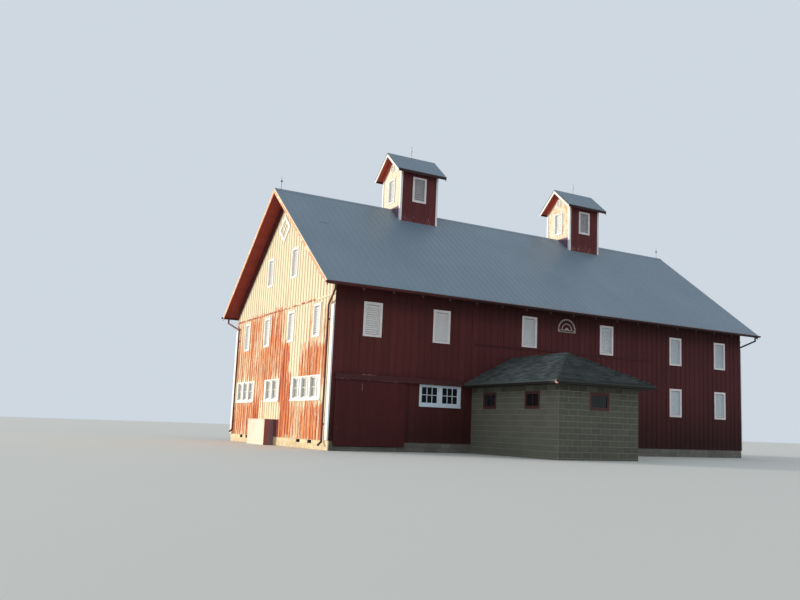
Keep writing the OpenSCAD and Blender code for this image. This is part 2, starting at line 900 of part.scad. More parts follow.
// Frame of four boards with two bars that cross in the middle
module diamond() {
    share = 1 - diamond_frame * sqrt(1 / pow(diamond_w, 2) + 1 / pow(diamond_h, 2));
    into_wall(-diamond_t, 0) {
        difference() {
            diamond_shape(diamond_w, diamond_h);
            diamond_shape(diamond_w * share, diamond_h * share);
        }
        intersection() {
            diamond_shape(diamond_w, diamond_h);
            for (turn = [-1, 1]) rotate(turn * atan(diamond_h / diamond_w))
                square([2 * diamond_w, diamond_bar], center = true);
        }
    }
}

module gable_diamonds() {
    color(white) {
        on_near_gable(0, ridge_h - diamond_drop) diamond();
        on_far_gable(0, ridge_h - diamond_drop) diamond();
    }
}

module ring(outer, width) {
    difference() {
        circle(outer);
        circle(outer - width);
    }
}

// An outer band with blocks on its inside, an inner band and a hub, all standing on one lower bar
module half_round_panel() {
    color(white) on_front(-fan_x, eave_h - fan_drop - fan_r) into_wall(-fan_t, 0) {
        intersection() {
            translate([-fan_r, -past]) square([2 * fan_r, fan_r + past]);
            union() {
                ring(fan_r, fan_band);
                ring(fan_inner_r, fan_inner_band);
                circle(fan_hub_r);
                for (i = [1 : fan_blocks]) rotate(i * 180 / (fan_blocks + 1))
                    translate([fan_r - fan_band - fan_block_w, -fan_block_w / 2])
                        square([fan_block_w + fan_band / 2, fan_block_w]);
            }
        }
        difference() {
            translate([-fan_r, -fan_bar_h]) square([2 * fan_r, fan_bar_h]);
            for (x = [-1, 0, 1]) translate([x * fan_inner_r, -fan_bar_h / 2])
                square(fan_hole, center = true);
        }
    }
}

// Louvred vents

module louvre(w, h, depth) {
    inner_w = w - 2 * louvre_casing;
    inner_h = h - 2 * louvre_casing;
    rim = louvre_casing - lining_t;
    slats = floor(inner_h / slat_step);
    first = (inner_h - (slats - 1) * slat_step) / 2;
    slat_mid_y = slat_setback + slat_w / 2 * cos(slat_angle);
    // The slats are housed in half of the lining's thickness at either end
    slat_l = inner_w + lining_t;
    into_wall(-casing_t, 0) difference() {
        translate([-w / 2, 0]) square([w, h]);
        translate([-inner_w / 2, louvre_casing]) square([inner_w, inner_h]);
    }
    into_wall(0, depth) difference() {
        translate([-w / 2 + rim, rim]) square([w - 2 * rim, h - 2 * rim]);
        translate([-inner_w / 2, louvre_casing]) square([inner_w, inner_h]);
    }
    intersection() {
        block([-slat_l / 2, slat_setback, louvre_casing], [slat_l / 2, depth, h - louvre_casing]);
        for (i = [0 : slats - 1])
            translate([0, slat_mid_y, louvre_casing + first + i * slat_step])
                rotate([slat_angle, 0, 0]) cube([slat_l, slat_w, slat_t], center = true);
    }
    into_wall(depth - backing_t, depth) translate([-inner_w / 2, louvre_casing]) square([inner_w, inner_h]);
}

module front_louvres() {
    color(white) at_front_vents() louvre(louvre_w, louvre_h, wall_t);
}

module back_louvres() {
    color(white) at_back_vents() louvre(louvre_w, louvre_h, wall_t);
}

module gable_louvres() {
    color(white) at_gable_vents() louvre(louvre_w, louvre_h, wall_t);
}

// Windows

// One casing board round all the sashes of a group, with the lined sashes behind it
module window_group(group, h) {
    into_wall(-casing_t, 0) difference() {
        translate([-group[1] / 2, 0]) square([group[1], h]);
        at_sashes(group) sash_outline(group, h, 0);
    }
    block([-group[1] / 2, -sill_out, 0], [group[1] / 2, -casing_t, sill_h]);
    at_sashes(group) {
        into_wall(0, wall_t) difference() {
            sash_outline(group, h, lining_t);
            sash_outline(group, h, 0);
        }
        sash(group, h);
    }
}

// A sash of two rows of three panes
module sash(group, h) {
    w = sash_outer_w(group) - 2 * sash_w;
    ph = sash_outer_h(h) - 2 * sash_w;
    into_wall(sash_setback, sash_setback + sash_t) difference() {
        sash_outline(group, h, 0);
        sash_outline(group, h, -sash_w);
    }
    translate([0, 0, casing_bottom + sash_w]) into_wall(sash_setback, sash_setback + sash_t / 2) {
        translate([-w / 2, (ph - bar_w) / 2]) square([w, bar_w]);
        for (x = [-w / 6, w / 6]) translate([x - bar_w / 2, 0]) square([bar_w, ph]);
    }
}

module group_glass(group, h) {
    y = sash_setback + sash_t / 2;
    at_sashes(group) into_wall(y, y + glass_t) sash_outline(group, h, -sash_w);
}

module gable_windows() {
    color(white) for (g = gable_groups) {
        on_near_gable(g[0], gable_window_z) window_group(g, gable_window_h);
        on_far_gable(g[0], gable_window_z) window_group(g, gable_window_h);
    }
}

module wall_windows() {
    color(white) {
        on_front(front_window_x, wall_window_z) window_group(wall_group, wall_window_h);
        for (x = back_window_xs)
            on_back(x, wall_window_z) window_group(wall_group, wall_window_h);
    }
}

module barn_window_glass() {
    color("lightblue") {
        for (g = gable_groups) {
            on_near_gable(g[0], gable_window_z) group_glass(g, gable_window_h);
            on_far_gable(g[0], gable_window_z) group_glass(g, gable_window_h);
        }
        on_front(front_window_x, wall_window_z) group_glass(wall_group, wall_window_h);
        for (x = back_window_xs)
            on_back(x, wall_window_z) group_glass(wall_group, wall_window_h);
    }
}

// Sliding door

// Channel rail with a slot along its underside
module rail_section() {
    translate([rail_y, rail_z]) difference() {
        translate([-rail_w / 2, 0]) square([rail_w, rail_h]);
        translate([-rail_w / 2 + rail_t, rail_t]) square([rail_w - 2 * rail_t, rail_h - 2 * rail_t]);
        translate([-rail_slot / 2, -past]) square([rail_slot, rail_t + 2 * past]);
    }
}

module door_track() {
    face_y = rail_y - rail_w / 2;
    top_z = hood_z + hood_h;
    color(red) {
        along_x(track_x0, track_x1) {
            polygon([[-side_y - ledger_t, hood_z], [-side_y, hood_z], [-side_y, top_z],
                     [-side_y - ledger_t, top_z]]);
            rail_section();
            polygon([[face_y - hood_t, hood_z], [face_y, hood_z], [face_y, top_z],
                     [face_y - hood_t, top_z]]);
            polygon([[face_y - hood_t, top_z], [-side_y, top_z], [-side_y, top_z + 2 * hood_t],
                     [face_y - hood_t, top_z + hood_t]]);
        }
        for (x = [track_x0, track_x1 - hood_t])
            block([x, face_y, hood_z], [x + hood_t, -side_y - ledger_t, top_z]);
    }
}

// Boards on a back frame of ledges and stiles
module sliding_door() {
    front = rail_y - door_t / 2;
    mid = front + door_board_t;
    x1 = door_x0 + door_w;
    h = door_top - door_bottom;
    color(red) {
        block([door_x0, front, door_bottom], [x1, mid, door_top]);
        translate([0, mid, 0]) {
            for (z = [door_bottom, door_bottom + (h - door_ledge_w) / 2, door_top - door_ledge_w])
                block([door_x0, 0, z], [x1, door_ledge_t, z + door_ledge_w]);
            for (x = [door_x0, door_x0 + (door_w - door_ledge_w) / 2, x1 - door_ledge_w])
                block([x, 0, door_bottom], [x + door_ledge_w, door_ledge_t, door_top]);
        }
    }
}

module door_hangers() {
    axle_z = rail_z + rail_t + roller_gap + roller_r;
    inner = rail_slot / 2 + strap_t / 4;
    plate = door_t - strap_t / 2;
    color("dimgray") for (x = [door_x0 + hanger_in, door_x0 + door_w - hanger_in])
        translate([x, rail_y, 0]) {
            block([-hanger_plate_l / 2, -plate / 2, door_top],
                  [hanger_plate_l / 2, plate / 2, door_top + strap_t]);
            block([-strap_w / 2, -strap_t / 2, door_top],
                  [strap_w / 2, strap_t / 2, axle_z + 2 * axle_r]);
            translate([0, 0, axle_z]) rotate([90, 0, 0]) {
                cylinder(h = 2 * (inner + roller_w), r = axle_r, center = true);
                for (side = [-1, 1]) translate([0, 0, side * (inner + roller_w / 2)])
                    cylinder(h = roller_w, r = roller_r, center = true);
            }
        }
}

// Cupolas

module cupola_eave_wall() {
    inner = cupola_half - cupola_t;
    along_x(-cupola_half, cupola_half)
        polygon([[-cupola_half, roof_top(cupola_half) + seat], [-inner, roof_top(inner) + seat],
                 [-inner, cupola_under(inner) - seat], [-cupola_half, cupola_under(cupola_half) - seat]]);
}

module cupola_gable_wall() {
    inner = cupola_half - cupola_t;
    along_x(-cupola_half, -inner)
        polygon([[-inner, roof_top(inner) + seat], [0, ridge_h + seat], [inner, roof_top(inner) + seat],
                 [inner, cupola_under(inner) - seat], [0, cupola_under(0) - seat],
                 [-inner, cupola_under(inner) - seat]]);
}

// Places a piece that faces -Y on the four sides of a cupola
module on_cupola_eave_sides() {
    for (turn = [0, 180]) rotate(turn) translate([0, -cupola_half, cupola_vent_z]) children();
}

module on_cupola_gable_sides() {
    for (turn = [-90, 90]) rotate(turn) translate([0, -cupola_half, cupola_vent_z]) children();
}

module cupola_eave_walls() {
    color(red) at_cupolas() difference() {
        both_sides() cupola_eave_wall();
        on_cupola_eave_sides() louvre_hole(cupola_vent_w, cupola_vent_h, cupola_t);
    }
}

module cupola_gable_walls() {
    color(red) at_cupolas() difference() {
        both_ends() cupola_gable_wall();
        on_cupola_gable_sides() louvre_hole(cupola_vent_w, cupola_vent_h, cupola_t);
    }
}

module cupola_louvres() {
    color(white) at_cupolas() {
        on_cupola_eave_sides() louvre(cupola_vent_w, cupola_vent_h, cupola_t);
        on_cupola_gable_sides() louvre(cupola_vent_w, cupola_vent_h, cupola_t);
    }
}

module cupola_roofs() {
    y = cupola_roof_y;
    color(metal) at_cupolas() along_x(-cupola_roof_x, cupola_roof_x)
        polygon([[-y, cupola_under(y)], [-y, cupola_eave_h], [0, cupola_ridge_h], [y, cupola_eave_h],
                 [y, cupola_under(y)], [0, cupola_under(0)]]);
}

// Boards along a cupola roof's eaves, between its rake boards
module cupola_fascias() {
    t = cupola_board_t;
    y = cupola_roof_y;
    color(red) at_cupolas() both_sides() along_x(-cupola_roof_x + t, cupola_roof_x - t)
        translate([0, -seat])
            polygon([[-y, cupola_under(y) - cupola_fascia_h], [-y, cupola_under(y)],
                     [-y + t, cupola_under(y - t)], [-y + t, cupola_under(y) - cupola_fascia_h]]);
}

// A cupola's corner board that wraps the corner at its -X and -Y sides
module cupola_corner_board() {
    outer = cupola_half + cupola_board_t;
    inner = cupola_half - cupola_board_w;
    along_x(-outer, -cupola_half)
        polygon([[-outer, roof_top(outer) + cupola_board_gap], [-inner, roof_top(inner) + cupola_board_gap],
                 [-inner, cupola_under(inner) - cupola_board_gap],
                 [-outer, cupola_under(outer) - cupola_board_gap]]);
    block([-outer, -outer, roof_top(cupola_half) + cupola_board_gap],
          [-cupola_half + cupola_side_board_w, -cupola_half, cupola_under(outer) - cupola_board_gap]);
}

// Corner boards, rake boards and the ring on one gable of a cupola
module cupola_gable_trim() {
    t = cupola_board_t;
    y = cupola_roof_y;
    face = -cupola_half;
    both_sides() cupola_corner_board();
    along_x(-cupola_roof_x, -cupola_roof_x + t)
        translate([0, -seat])
            polygon([[-y, cupola_under(y) - cupola_rake_drop], [-y, cupola_under(y)], [0, cupola_under(0)],
                     [y, cupola_under(y)], [y, cupola_under(y) - cupola_rake_drop],
                     [0, cupola_under(0) - cupola_rake_drop]]);
    along_x(face - t, face) translate([0, cupola_eave_h + ring_up]) {
        ring(ring_r, ring_w);
        for (turn = [0, 90]) rotate(turn) square([2 * ring_r - ring_w, ring_w / 2], center = true);
    }
}

module cupola_trim() {
    color(white) at_cupolas() both_ends() cupola_gable_trim();
}

module lightning_rod() {
    cylinder(h = rod_h, r = rod_r);
    cylinder(h = rod_foot, r = 2 * rod_r);
    translate([0, 0, rod_ball_up]) sphere(rod_ball_r);
    translate([0, 0, rod_h]) cylinder(h = rod_tip, r1 = rod_r, r2 = rod_tip_r);
}

module lightning_rods() {
    color("gray") {
        both_ends() translate([-roof_x + rod_in, 0, ridge_h + ridge_cap_t + seat]) lightning_rod();
        at_cupolas() translate([0, 0, cupola_ridge_h]) lightning_rod();
    }
}

// Milk house

milk_side_ys = [-side_y - milk_window_y1, -side_y - milk_window_y2];

module at_milk_side_windows() {
    for (y = milk_side_ys) {
        translate([milk_x0, y, milk_window_z]) rotate(-90) children();
        translate([milk_x1, y, milk_window_z]) rotate(90) children();
    }
}

module at_milk_front_window() {
    translate([milk_mid, milk_y1, milk_window_z]) children();
}

module milk_hole() {
    into_wall(-past, milk_wall_t + past) translate([-milk_window_w / 2, 0])
        square([milk_window_w, milk_window_h]);
}

module milk_house_front_wall() {
    color(block_grey) difference() {
        block([milk_x0, milk_y1, 0], [milk_x1, milk_y1 + milk_wall_t, milk_wall_h]);
        at_milk_front_window() milk_hole();
    }
}

module milk_house_side_walls() {
    color(block_grey) difference() {
        for (x = [milk_x0, milk_x1 - milk_wall_t])
            block([x, milk_y1 + milk_wall_t, 0], [x + milk_wall_t, -side_y, milk_wall_h]);
        at_milk_side_windows() milk_hole();
    }
}

module milk_house_floor() {
    color("gray") block([milk_x0 + milk_wall_t, milk_y1 + milk_wall_t, 0],
                        [milk_x1 - milk_wall_t, -side_y, floor_h]);
}

// The whole hipped form under a roof surface that is lowered by drop
module milk_hip(drop) {
    half = milk_w / 2 + milk_out;
    y0 = milk_y1 - milk_out;
    edge = milk_eave_h - drop;
    top = milk_ridge_h - drop;
    run = 2 * half;
    intersection() {
        translate([milk_mid, -side_y, 0]) rotate([90, 0, 0]) linear_extrude(milk_d + milk_out)
            polygon([[-half, 0], [half, 0], [half, edge], [0, top], [-half, edge]]);
        along_x(milk_mid - half, milk_mid + half)
            polygon([[y0, 0], [-side_y, 0], [-side_y, edge + run * milk_slope],
                     [y0 + run, edge + run * milk_slope], [y0, edge]]);
    }
}

module milk_house_roof() {
    color("dimgray") difference() {
        milk_hip(0);
        milk_hip(milk_deck_t);
        block([milk_x0 - 2 * milk_out, milk_y1 - 2 * milk_out, 0],
              [milk_x1 + 2 * milk_out, past, milk_wall_h]);
    }
}

// Ceiling and soffit in one sheet with the fascia boards standing on its rim
module milk_house_eaves() {
    t = milk_board_t;
    x0 = milk_x0 - milk_out;
    x1 = milk_x1 + milk_out;
    y0 = milk_y1 - milk_out;
    color(red) intersection() {
        difference() {
            block([x0, y0, milk_wall_h], [x1, -side_y, milk_eave_h]);
            block([x0 + t, y0 + t, milk_wall_h + t], [x1 - t, -side_y + past, milk_eave_h + past]);
        }
        milk_hip(milk_deck_t);
    }
}

module milk_window() {
    w = milk_window_w;
    h = milk_window_h;
    into_wall(0, milk_frame_t) difference() {
        translate([-w / 2, 0]) square([w, h]);
        translate([-w / 2 + milk_frame_w, milk_frame_w])
            square([w - 2 * milk_frame_w, h - 2 * milk_frame_w]);
    }
    into_wall(milk_frame_t / 2 - milk_bar_t, milk_frame_t / 2)
        translate([-bar_w / 2, milk_frame_w]) square([bar_w, h - 2 * milk_frame_w]);
}

module milk_house_windows() {
    color(red) {
        at_milk_front_window() milk_window();
        at_milk_side_windows() milk_window();
    }
}

module milk_pane() {
    into_wall(milk_frame_t / 2, milk_frame_t / 2 + glass_t)
        translate([-milk_window_w / 2 + milk_frame_w, milk_frame_w])
            square([milk_window_w - 2 * milk_frame_w, milk_window_h - 2 * milk_frame_w]);
}

module milk_house_glass() {
    color("lightblue") {
        at_milk_front_window() milk_pane();
        at_milk_side_windows() milk_pane();
    }
}

// Bin at the gable

module gable_bin() {
    top = bin_h - lid_t;
    color(stone) difference() {
        block([-end_x - bin_d, bin_y - bin_w / 2, 0], [-end_x, bin_y + bin_w / 2, top]);
        block([-end_x - bin_d + bin_t, bin_y - bin_w / 2 + bin_t, bin_t],
              [-end_x - bin_t, bin_y + bin_w / 2 - bin_t, top + past]);
    }
}

module gable_bin_lid() {
    color(stone) block([-end_x - bin_d - lid_out, bin_y - bin_w / 2 - lid_out, bin_h - lid_t],
                       [-end_x, bin_y + bin_w / 2 + lid_out, bin_h]);
}

foundation_long_walls();
foundation_gable_walls();
foundation_corner_pier();
door_threshold();
ground_floor();
posts();
loft_beams();
loft_floor();
front_wall();
front_wall_over_door();
front_wall_corner();
back_wall();
near_gable_wall();
far_gable_wall();
roof_front();
roof_back();
ridge_cap();
rake_boards_front();
rake_boards_back();
eave_fascias();
gutters();
downspouts();
corner_boards();
drip_boards();
front_louvres();
back_louvres();
gable_louvres();
gable_diamonds();
half_round_panel();
gable_windows();
wall_windows();
barn_window_glass();
door_track();
sliding_door();
door_hangers();
cupola_eave_walls();
cupola_gable_walls();
cupola_roofs();
cupola_fascias();
cupola_trim();
cupola_louvres();
lightning_rods();
milk_house_front_wall();
milk_house_side_walls();
milk_house_floor();
milk_house_eaves();
milk_house_roof();
milk_house_windows();
milk_house_glass();
gable_bin();
gable_bin_lid();
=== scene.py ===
"""Looks of the red barn: boards and battens, ribbed metal roof, block milk house and their finishes."""
import math
import random

import bmesh
import bpy
from mathutils import Matrix, Vector


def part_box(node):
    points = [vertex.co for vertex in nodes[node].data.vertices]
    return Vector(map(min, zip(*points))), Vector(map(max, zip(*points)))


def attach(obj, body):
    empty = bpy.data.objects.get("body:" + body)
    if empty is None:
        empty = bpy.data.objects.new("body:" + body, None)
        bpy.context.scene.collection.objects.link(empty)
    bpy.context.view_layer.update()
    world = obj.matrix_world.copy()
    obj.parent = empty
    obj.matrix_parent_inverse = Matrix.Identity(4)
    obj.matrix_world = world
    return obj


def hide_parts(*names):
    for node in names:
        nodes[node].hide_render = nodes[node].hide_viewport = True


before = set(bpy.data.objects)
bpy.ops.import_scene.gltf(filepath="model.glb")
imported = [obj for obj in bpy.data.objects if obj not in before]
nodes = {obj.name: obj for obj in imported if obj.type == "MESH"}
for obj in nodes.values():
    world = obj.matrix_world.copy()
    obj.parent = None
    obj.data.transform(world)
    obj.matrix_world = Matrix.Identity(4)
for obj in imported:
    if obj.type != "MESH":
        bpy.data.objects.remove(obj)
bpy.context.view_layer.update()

# Camera of the photograph: place in metres, turn in degrees, focal length and shift in pixels
CAMERA_PLACE = (-21.898, -33.312, 0.883)
CAMERA_YAW, CAMERA_PITCH, CAMERA_ROLL = 30.785, 8.290, 1.978
FOCAL_PX = 824.28
SHIFT_PX = (55.68, 9.45)
FRAME_W = 800
SENSOR = 36.0
# Low sun, which lights the near gable and the back: the way its light travels, strength, colour and angle
SUN_TRAVEL = (0.69, -0.72, -0.114)
SUN_STRENGTH, SUN_COLOUR, SUN_ANGLE = 3.3, (1.0, 0.90, 0.75), 4.0
SKY_STRENGTH = 0.85
FLOOR_REACH, FLOOR_DROP = 300.0, 0.001

# All lengths below are in metres
# Siding: boards, battens, and the stretch at each corner that has no batten
BOARD_STEP = 0.300
BATTEN_W, BATTEN_T, BATTEN_CHAMFER, BATTEN_SINK = 0.065, 0.016, 0.005, 0.010
GABLE_CORNER, SIDE_CORNER = 0.27, 0.10
CUPOLA_BOARD_STEP, CUPOLA_WALL = 0.235, 0.20
# The gables' boards draw their tones this many boards further on
OTHER_TONES = 131.0

# Roof: its boards, the metal's ribs, the stretch at each verge without one, and where they stop at the top
RIB_STEP, RIB_W, RIB_TOP_W, RIB_H, RIB_SINK = 0.305, 0.060, 0.024, 0.008, 0.002
RIB_VERGE, CUPOLA_RIB_VERGE = 0.05, 0.03
RIDGE_CAP_REACH, SHAFT_CLEAR, DECK_T = 0.170, 0.10, 0.050

# Block work of the milk house
BLOCK_L, BLOCK_H, BLOCK_PROUD, BLOCK_SINK = 0.406, 0.203, 0.005, 0.030
JOINT = 0.014

# Shingles: tabs, courses, the first course's place above the eave, and the caps on hips and ridge
SHINGLE_W, SHINGLE_STEP, SHINGLE_L, SHINGLE_T = 0.305, 0.140, 0.190, 0.007
SHINGLE_START, SHINGLE_GAP, SHINGLE_RAGGED = 0.015, 0.006, 0.002
HIP_CAP_W, HIP_CAP_STEP, HIP_CAP_LAP, HIP_CAP_INSET = 0.130, 0.150, 1.25, 0.13
HIP_CAP_LIFTS, RIDGE_CAP_START = (0.030, 0.022), 0.05

# How far the patch of sunlight painted on the milk house's eave corner reaches along the eave, and how
# wide it is across its slant
SUNLIT_REACH, SUNLIT_WIDE = 0.17, 0.06
# Foundation stones: the shortest and the spread of their lengths are shares of STONE_L
STONE_L, STONE_H, STONE_PROUD, STONE_SINK, STONE_GAP = 0.42, 0.165, 0.012, 0.030, 0.008
STONE_SHORTEST, STONE_SPREAD = 0.7, 0.6
STONE_DENTS, STONE_DENT_SIZE, DENT_SEED = 0.012, 0.15, 3.0

# Shorter or lower leftovers are left out
SHORTEST_PIECE, SHORTEST_SHINGLE, LEAST_COURSE = 0.03, 0.02, 0.02
# How far battens stay clear of the milk house's roof
FLASHING = 0.03
# How near to a wall's face a casing or board lies that belongs to it
ON_FACE = 0.08
TINY = 0.002
# Decimals to which corners are compared
PLACES = 4


def srgb(r, g, b):
    """Linear colour from the three 0 to 255 values of a screen colour."""
    def linear(v):
        """One channel without the screen's curve."""
        v /= 255
        return v / 12.92 if v <= 0.04045 else ((v + 0.055) / 1.055) ** 2.4
    return (linear(r), linear(g), linear(b), 1.0)


work_scene = bpy.context.scene


def new_object(name, mesh):
    """A linked object at the origin."""
    made = bpy.data.objects.new(name, mesh)
    work_scene.collection.objects.link(made)
    return made


def make_camera():
    """The camera at the photograph's place, with its shift."""
    yaw, pitch, roll = (math.radians(v) for v in (CAMERA_YAW, CAMERA_PITCH, CAMERA_ROLL))
    ahead = Vector((math.sin(yaw) * math.cos(pitch), math.cos(yaw) * math.cos(pitch), math.sin(pitch)))
    right = Vector((math.cos(yaw), -math.sin(yaw), 0.0))
    up = right.cross(ahead)
    turned_right = math.cos(roll) * right + math.sin(roll) * up
    turned_up = -math.sin(roll) * right + math.cos(roll) * up
    data = bpy.data.cameras.new("photo_camera")
    data.sensor_width = SENSOR
    data.lens = FOCAL_PX * SENSOR / FRAME_W
    data.shift_x = -SHIFT_PX[0] / FRAME_W
    data.shift_y = SHIFT_PX[1] / FRAME_W
    data.clip_end = 500.0
    camera = new_object("photo_camera", data)
    axes = Matrix((turned_right, turned_up, -ahead)).transposed().to_4x4()
    camera.matrix_world = Matrix.Translation(CAMERA_PLACE) @ axes
    work_scene.camera = camera
    work_scene.view_settings.view_transform = "Standard"


make_camera()


# Measures read off the frame

def solids(name):
    """Boxes (low, high) of a node's separate solids, in metres."""
    mesh = nodes[name].data
    parent = {}

    def root(k):
        """The corner that stands for all corners joined to this one."""
        while parent[k] != k:
            parent[k] = parent[parent[k]]
            k = parent[k]
        return k

    keys = [tuple(round(c, PLACES) for c in v.co) for v in mesh.vertices]
    for k in keys:
        parent[k] = k
    for polygon in mesh.polygons:
        first = root(keys[polygon.vertices[0]])
        for index in polygon.vertices[1:]:
            parent[root(keys[index])] = first
    found = {}
    for k in parent:
        low, high = found.setdefault(root(k), ([math.inf] * 3, [-math.inf] * 3))
        for axis in range(3):
            low[axis] = min(low[axis], k[axis])
            high[axis] = max(high[axis], k[axis])
    return sorted((tuple(low), tuple(high)) for low, high in found.values())


def highest_at(name, axis, value):
    """Greatest height among a node's corners that lie at one coordinate."""
    return max(v.co.z for v in nodes[name].data.vertices if abs(v.co[axis] - value) < TINY)


END_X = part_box("far_gable_wall")[1].x
SIDE_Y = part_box("back_wall")[1].y
SIDING_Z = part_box("near_gable_wall")[0].z
roof_low, roof_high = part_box("roof_front")
ROOF_X, ROOF_Y, RIDGE_H = roof_high.x, -roof_low.y, roof_high.z
EAVE_H = highest_at("roof_front", 1, roof_low.y)
ROOF_SLOPE = (RIDGE_H - EAVE_H) / ROOF_Y
ROOF_ANGLE = math.atan(ROOF_SLOPE)
DECK_DROP = DECK_T / math.cos(ROOF_ANGLE)

milk_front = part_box("milk_house_front_wall")
milk_low, milk_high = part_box("milk_house_roof")
MILK_EAVES_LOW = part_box("milk_house_eaves")[0]
MILK_X0, MILK_X1 = milk_front[0].x, milk_front[1].x
MILK_Y = milk_front[0].y
MILK_MID = (MILK_X0 + MILK_X1) / 2
MILK_WALL_H = milk_front[1].z
MILK_RIDGE_H = milk_high.z
MILK_EAVE_H = highest_at("milk_house_roof", 0, milk_low.x)
MILK_HALF = (milk_high.x - milk_low.x) / 2
MILK_SLOPE = (MILK_RIDGE_H - MILK_EAVE_H) / MILK_HALF
# Where the milk house's roof and blocks meet the barn's battens
MILK_BACK_Y = -SIDE_Y - BATTEN_T
cupola_roofs = solids("cupola_roofs")
cupola_shafts = solids("cupola_eave_walls")
CUPOLA_XS = sorted({round((low[0] + high[0]) / 2, PLACES) for low, high in cupola_shafts})
CUPOLA_HALF = (cupola_shafts[0][1][0] - cupola_shafts[0][0][0]) / 2
CUPOLA_TOP = cupola_roofs[0][1][2]
CUPOLA_ROOF_HALF = (cupola_roofs[0][1][1] - cupola_roofs[0][0][1]) / 2
CUPOLA_FALL = (CUPOLA_TOP - highest_at("cupola_roofs", 1, cupola_roofs[0][0][1])) / CUPOLA_ROOF_HALF
GUTTER_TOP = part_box("gutters")[1].z
BIN_LOW, BIN_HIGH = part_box("gable_bin")[0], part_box("gable_bin_lid")[1]
SIGN_LOW, SIGN_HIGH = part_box("half_round_panel")
over_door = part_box("front_wall_over_door")
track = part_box("door_track")
TRACK_LOW_Z = track[0].z


def roof_under(across):
    """Height of the roof boards' underside at a distance from the ridge."""
    return RIDGE_H - DECK_DROP - ROOF_SLOPE * abs(across)


# Shader nodes

class Wiring:
    """Adds nodes to a tree and gives back their output sockets."""

    def __init__(self, tree):
        self.tree = tree

    def plug(self, socket, value):
        if isinstance(value, bpy.types.NodeSocket):
            self.tree.links.new(value, socket)
        else:
            socket.default_value = value

    def add(self, kind, inputs=None, **settings):
        made = self.tree.nodes.new(kind)
        for name, value in settings.items():
            setattr(made, name, value)
        for name, value in (inputs or {}).items():
            self.plug(made.inputs[name], value)
        return made

    def math(self, operation, a, b=0.0):
        return self.add("ShaderNodeMath", {0: a, 1: b}, operation=operation).outputs[0]

    def times(self, first, *others):
        for other in others:
            first = self.math("MULTIPLY", first, other)
        return first

    def plus(self, first, *others):
        for other in others:
            first = self.math("ADD", first, other)
        return first

    def minus(self, a, b):
        return self.math("SUBTRACT", a, b)

    def sway(self, value, reach):
        """A value about 0.5 made into one about 0, which reaches half as far as told to each side."""
        return self.times(self.minus(value, 0.5), reach)

    def over(self, a, b):
        return self.math("GREATER_THAN", a, b)

    def under(self, a, b):
        return self.math("LESS_THAN", a, b)

    def most(self, a, b):
        return self.math("MAXIMUM", a, b)

    def size(self, a):
        return self.math("ABSOLUTE", a)

    def mix(self, factor, a, b, blend="MIX"):
        made = self.add("ShaderNodeMix", data_type="RGBA", blend_type=blend)
        for index, value in ((0, factor), (6, a), (7, b)):
            self.plug(made.inputs[index], value)
        return made.outputs[2]

    def mix_value(self, factor, a, b):
        made = self.add("ShaderNodeMix", data_type="FLOAT")
        for index, value in ((0, factor), (2, a), (3, b)):
            self.plug(made.inputs[index], value)
        return made.outputs[0]

    def dim(self, colour, factor):
        """Darkens a colour to a share between 0 and 1."""
        grey = self.add("ShaderNodeCombineColor", {0: factor, 1: factor, 2: factor}).outputs[0]
        return self.mix(1.0, colour, grey, "MULTIPLY")

    def spread(self, value, low, high, to_low=0.0, to_high=1.0):
        """Smooth step of a value between two limits."""
        made = self.add("ShaderNodeMapRange", interpolation_type="SMOOTHSTEP")
        for index, part in enumerate((value, low, high, to_low, to_high)):
            self.plug(made.inputs[index], part)
        return made.outputs[0]

    def noise(self, vector, scale, detail=3.0, roughness=0.55, seed=0.0):
        return self.add("ShaderNodeTexNoise",
                        {"Vector": vector, "W": seed, "Scale": scale, "Detail": detail,
                         "Roughness": roughness}, noise_dimensions="4D").outputs[0]

    def stretched_noise(self, vector, scales, detail, roughness, seed):
        """Noise with a scale for each axis."""
        scaled = self.add("ShaderNodeVectorMath", {0: vector, 1: scales}, operation="MULTIPLY")
        return self.noise(scaled.outputs[0], 1.0, detail, roughness, seed)

    def place(self):
        """Where a point lies on the barn, in metres."""
        return self.add("ShaderNodeTexCoord").outputs["Object"]

    def parts(self, vector):
        return self.add("ShaderNodeSeparateXYZ", {0: vector}).outputs

    def spot(self):
        """The three coordinates of a point on the barn."""
        return self.parts(self.place())

    def looks(self):
        """The three parts of the way in which a face looks."""
        return self.parts(self.add("ShaderNodeNewGeometry").outputs["True Normal"])

    def vector(self, x, y, z):
        return self.add("ShaderNodeCombineXYZ", {0: x, 1: y, 2: z}).outputs[0]

    def random(self, value):
        return self.add("ShaderNodeTexWhiteNoise", {"W": value}, noise_dimensions="1D").outputs["Value"]

    def attribute(self, name):
        return self.add("ShaderNodeAttribute", attribute_name=name).outputs["Fac"]

    def cover(self, colour, mask, share, other):
        """Covers a colour with another by a share of a mask."""
        return self.mix(self.times(mask, share), colour, other)


def shader_group(name, inputs, outputs, wire):
    """A node group with float inputs (name: value) and named outputs, wired by the given function."""
    tree = bpy.data.node_groups.new(name, "ShaderNodeTree")
    for title, value in inputs.items():
        socket = tree.interface.new_socket(title, in_out="INPUT", socket_type="NodeSocketFloat")
        socket.default_value = value
    for title in outputs:
        tree.interface.new_socket(title, in_out="OUTPUT", socket_type="NodeSocketFloat")
    w = Wiring(tree)
    given = w.add("NodeGroupInput").outputs
    results = wire(w, given)
    out = w.add("NodeGroupOutput")
    for title, socket in zip(outputs, results):
        w.plug(out.inputs[title], socket)
    return tree


